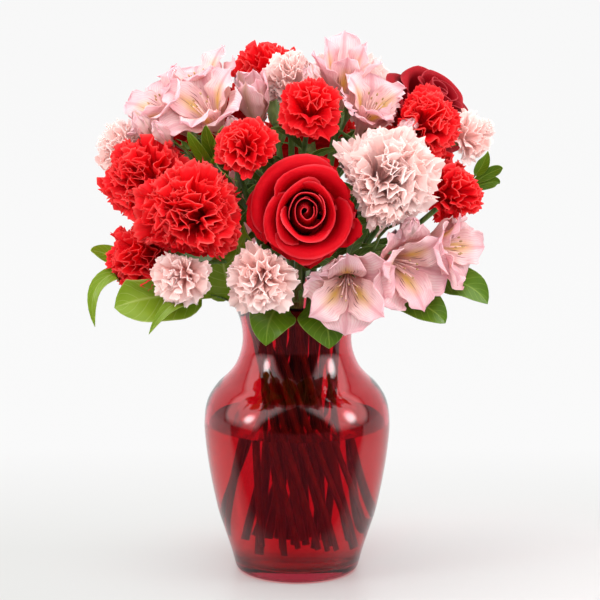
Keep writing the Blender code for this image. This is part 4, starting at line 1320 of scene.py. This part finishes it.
def leaf(flat, root, middle, tip, width, faces, finish, rng, stalk=LEAF_STALK):
    """A leaf with a folded, gently waved blade and a drawn-out tip. Its stalk is a piece of its own."""
    across, along = flat.across, flat.along
    root, tip = np.array(root, float), np.array(tip, float)
    bend = np.array(middle, float) * 2 - (root + tip) / 2
    share = stalk + (1 - stalk) * along
    way = (bend - root) * (1 - share)[:, None] + (tip - bend) * share[:, None]
    way /= np.linalg.norm(way, axis=1)[:, None]
    side = np.cross(way, np.array(faces, float) + (LEAF_TURN if tip[1] < 0 else 0.0))
    side /= np.linalg.norm(side, axis=1)[:, None]
    over = np.cross(side, way)
    outline = along ** 0.60 * np.clip(1 - along, 0, 1) ** 0.85 / LEAF_OUTLINE_PEAK
    half = np.maximum(0.35, outline * width / 2) * np.where(along > 0.999, 0.2, 1.0)
    wave = 0.10 * np.abs(across) ** 2 * np.sin(along * rng.uniform(9, 13) + rng.uniform(*PHASE) + across)
    lift = half * (0.26 * np.abs(across) ** 1.4 + wave)
    points = bezier((root, bend, tip), share) + side * (across * half)[:, None] + over * lift[:, None]
    blade = shaped(flat, clear_of_heads(points, LEAF_MARGIN), finish, rng.random())
    thickened(blade, PETAL_THICKNESS)
    line = bezier((root, bend, tip), np.linspace(0, stalk + 0.06, 8))
    return blade, (clear_of_heads(line, STALK_MARGIN), np.linspace(0.95, 0.6, 8))


def side_leaves(flat, run, kind, finish, rng):
    """The leaves of a cut flower, turned round its stem and clear of the heads."""
    habit = SIDE_LEAVES[kind]
    rise = np.array(UP, float)
    made = []
    for number in range(habit.count):
        share = habit.low + (habit.high - habit.low) * number / (habit.count - 1)
        root = np.array(run[round(share * (len(run) - 1))], float)
        if root[2] < RIM_HEIGHT + 4:
            continue
        angle = math.radians(number * GOLDEN_ANGLE + rng.uniform(-20, 20))
        away = root * (1, 1, 0) / max(1.0, math.hypot(root[0], root[1]))
        out = np.array((math.cos(angle), math.sin(angle), 0)) + away * 0.7
        out /= np.linalg.norm(out)
        length = habit.length * rng.uniform(0.8, 1.15)
        middle = root + out * length * 0.32 + rise * length * 0.36
        tip = root + out * length * 0.86 + rise * length * 0.52
        faces = rise * 0.5 + out
        made.append(leaf(flat, root, middle, tip, habit.width, faces, finish, rng, SIDE_LEAF_STALK))
    return made


def foliage(plant, run, flat, finishes, rng):
    """The blades on a stem, each with the line of its stalk."""
    if plant.heads:
        return side_leaves(flat, run, plant.kind, finishes["blade_leaf"], rng)
    # The leaves of salal_left take the copy with painted light; the rest take the darker salal leaf.
    finish = finishes["sunlit_leaf" if plant.name == "salal_left" else "leaf"]
    made = []
    for blade in plant.leaves:
        root = run[round(blade.along * (len(run) - 1))]
        made.append(leaf(flat, root, blade.middle, blade.tip, blade.width, blade.faces, finish, rng))
    return made


def calyx_shape(kind):
    """A calyx drawn about +Z from its foot: a rose's cup, a lily's small one, or a carnation's tube."""
    length, mouth, stem = kind.calyx, kind.mouth, kind.stem
    if kind is ROSE:
        profile = ((stem, 0), (stem + 1.6, 1.5), (mouth * 0.86, 5.0))
        profile += ((mouth * 0.92, length), (mouth * 0.5, length))
    elif kind is LILY:
        profile = ((stem * 0.6, 0), (stem * 1.15, 2.0), (stem * 1.35, 5.0))
        profile += ((mouth * 0.9, length), (0.6, length))
    else:
        profile = ((stem, 0), (stem + 1.0, length * 0.08), (mouth * 0.62, length * 0.3))
        profile += ((mouth * 0.72, length * 0.62), (mouth * 0.98, length), (mouth * 0.5, length * 0.9))
    return drawn_up(smooth_line(profile, 3), CALYX_SIDES)


def set_on(piece, head, kind):
    """A copy of a calyx, stood on its head's axis."""
    copy = duplicate(piece)
    turn = Matrix(turn_of(head).tolist()).to_4x4()
    copy.data.transform(Matrix.Translation(base_of(head, kind)) @ turn)
    return copy


def sepals(flat, head, kind, finish, rng):
    """Green sepals that grip the foot of a head."""
    length, width, spread = SEPALS[kind]
    base = kind.mouth * 0.9
    low = -kind.depth * head.radius
    bend = (base + spread * 0.6, low + length * 0.35)
    knots = ((base * 0.7, low - 1.5), bend, (base + spread, low + length))
    pieces = []
    for number in range(5):
        turn = 72 * number + rng.uniform(-12, 12)
        middle = bezier(knots, flat.along)
        half = width * np.sin(np.clip(flat.along + 0.18, 0, 1) * math.pi) ** 0.8 + 0.25
        bow = 0.5 * flat.across ** 2
        points = turned(np.stack((middle[:, 0] - bow, flat.across * half, middle[:, 1]), axis=1), turn)
        pieces.append(shaped(flat, carried(points, head, []), finish, rng.random()))
    body = joined(pieces)
    thickened(body, SEPAL_THICKNESS)
    return body


def stem_line(route, course, foot, place, kind):
    """The points and the radii of a side stalk, or of a stem that runs on down through the water."""
    if not route.root:
        drop = WATER_LEVEL + STRAIGHT_ABOVE_WATER - foot.z
        low = [stick_point(place, foot.z + drop * step / 6)[:] for step in range(7)]
        course = np.concatenate((np.array(low), course))
    radii = [kind.stem * (SIDE_STALK if route.root else 1.0)] * len(course)
    if not route.head:
        radii[-1] = kind.stem * 0.6
    return course, radii


def stem(plant, place, foot, own, cups, flats, finishes):
    """One cut stem with its side stalks, calyxes and leaves."""
    rng = seeded(plant.name, "leaves")
    pieces = []
    for route, _ in own:
        if route.head:
            pieces.append(set_on(cups[plant.kind], route.head, plant.kind))
        if route.head and plant.kind in SEPALS:
            pieces.append(sepals(flats["sepal"], route.head, plant.kind, finishes["calyx"], rng))
    lines = [stem_line(route, course, foot, place, plant.kind) for route, course in own]
    for blade, stalk in foliage(plant, own[0][1], flats["leaf"], finishes, rng):
        pieces.append(blade)
        lines.append(stalk)
    body = joined([tube(lines, finishes["stem"], 2)] + pieces)
    if plant.leaves:
        settled(body, plant.name + "_sprig", [plant.name])
    else:
        settled(body, plant.name + "_stalk", [plant.name + "_stem"])


def stems(finishes):
    """Every cut stem."""
    rng = random.Random(SEED)
    places = neck_places()
    feet = [stick_end(place, plant.kind.stem, rng) for plant, place in zip(PLANTS, places)]
    routes = lay_routes(places)
    courses = relax_routes(routes)
    kinds = (ROSE, CARNATION, SPRAY, LILY)
    cups = {kind: dressed(calyx_shape(kind), finishes["calyx"]) for kind in kinds}
    flats = {"leaf": flat_petal("leaf_blade", 8, 14), "sepal": flat_petal("sepal_blade", 4, 6)}
    for number, (plant, place, foot) in enumerate(zip(PLANTS, places, feet)):
        own = [(route, course) for route, course in zip(routes, courses) if route.plant == number]
        stem(plant, place, foot, own, cups, flats, finishes)
    for helper in (*cups.values(), *(flat.piece for flat in flats.values())):
        bpy.data.objects.remove(helper)


# ---- the vase and its water ----

# The glass as it was blown: the outside, with its soft foot, and the rolled rim.
GLASS_OUTLINE = (
    (38.0, 0.6), (41.4, 0.9), (43.3, 2.6), (44.5, 6.2), (47.3, 16.5), (52.0, 31.0), (56.5, 45.5),
    (61.6, 71.0), (64.6, 92.8), (65.4, 108.0), (63.3, 122.0), (57.0, 132.7), (49.5, 140.0),
    (43.7, 147.5), (39.8, 157.0), (38.3, 166.0), (38.9, 176.5), (41.8, 186.5), (45.6, 192.8),
    (50.4, 197.8),
)
GLASS_LIP = ((51.7, 199.3), (51.9, 199.9), (51.2, 200.0), (50.0, 199.7))
GLASS_PUNT = ((12.0, 1.6), (30.0, 1.2))
GLASS_SIDES = 72
WATER_OVERLAP = 0.1
MENISCUS = 0.7


def radius_inside(height):
    """The radius of the blown glass's inner wall at a height."""
    radii, heights = zip(*smooth_line(GLASS_OUTLINE, 4))
    return float(np.interp(height, heights, radii)) - GLASS_WALL


def vase(finishes):
    """The blown glass vase, with an even wall, a thick floor and a rolled rim."""
    outside = [tuple(point) for point in smooth_line(GLASS_OUTLINE, 4)]
    inside = [
        (6.0, GLASS_FLOOR),
        (radius_inside(GLASS_FLOOR) * 0.45, GLASS_FLOOR),
        (radius_inside(GLASS_FLOOR + 2) - 4.0, GLASS_FLOOR),
        (radius_inside(GLASS_FLOOR + 3) - 0.6, GLASS_FLOOR + 2.2),
    ]
    inside += [(radius - GLASS_WALL, height) for radius, height in outside if height > GLASS_FLOOR + 4]
    piece = drawn_up([*GLASS_PUNT, *outside, *GLASS_LIP, *inside[::-1]], GLASS_SIDES)
    settled(dressed(piece, finishes["glass"]), "glass_vase", ["vase"])


def water(finishes):
    """The water, which wets the glass all round and creeps up it at its edge."""
    low = GLASS_FLOOR - WATER_OVERLAP
    flat = WATER_LEVEL - MENISCUS
    levels = np.linspace(GLASS_FLOOR + 4, WATER_LEVEL, 26)
    profile = [(6.0, low), (radius_inside(low + 2) - 4.0, low), (radius_inside(low + 3) - 0.5, low + 2.2)]
    profile += [(radius_inside(height) + WATER_OVERLAP, float(height)) for height in levels]
    profile += [(radius_inside(WATER_LEVEL) - 2.0, flat), (8.0, flat)]
    settled(dressed(drawn_up(profile, GLASS_SIDES), finishes["water"]), "vase_water", ["water"])


# ---- the whole ----


camera()
studio()
palette = materials()
vase(palette)
water(palette)
stems(palette)
flowers(palette)
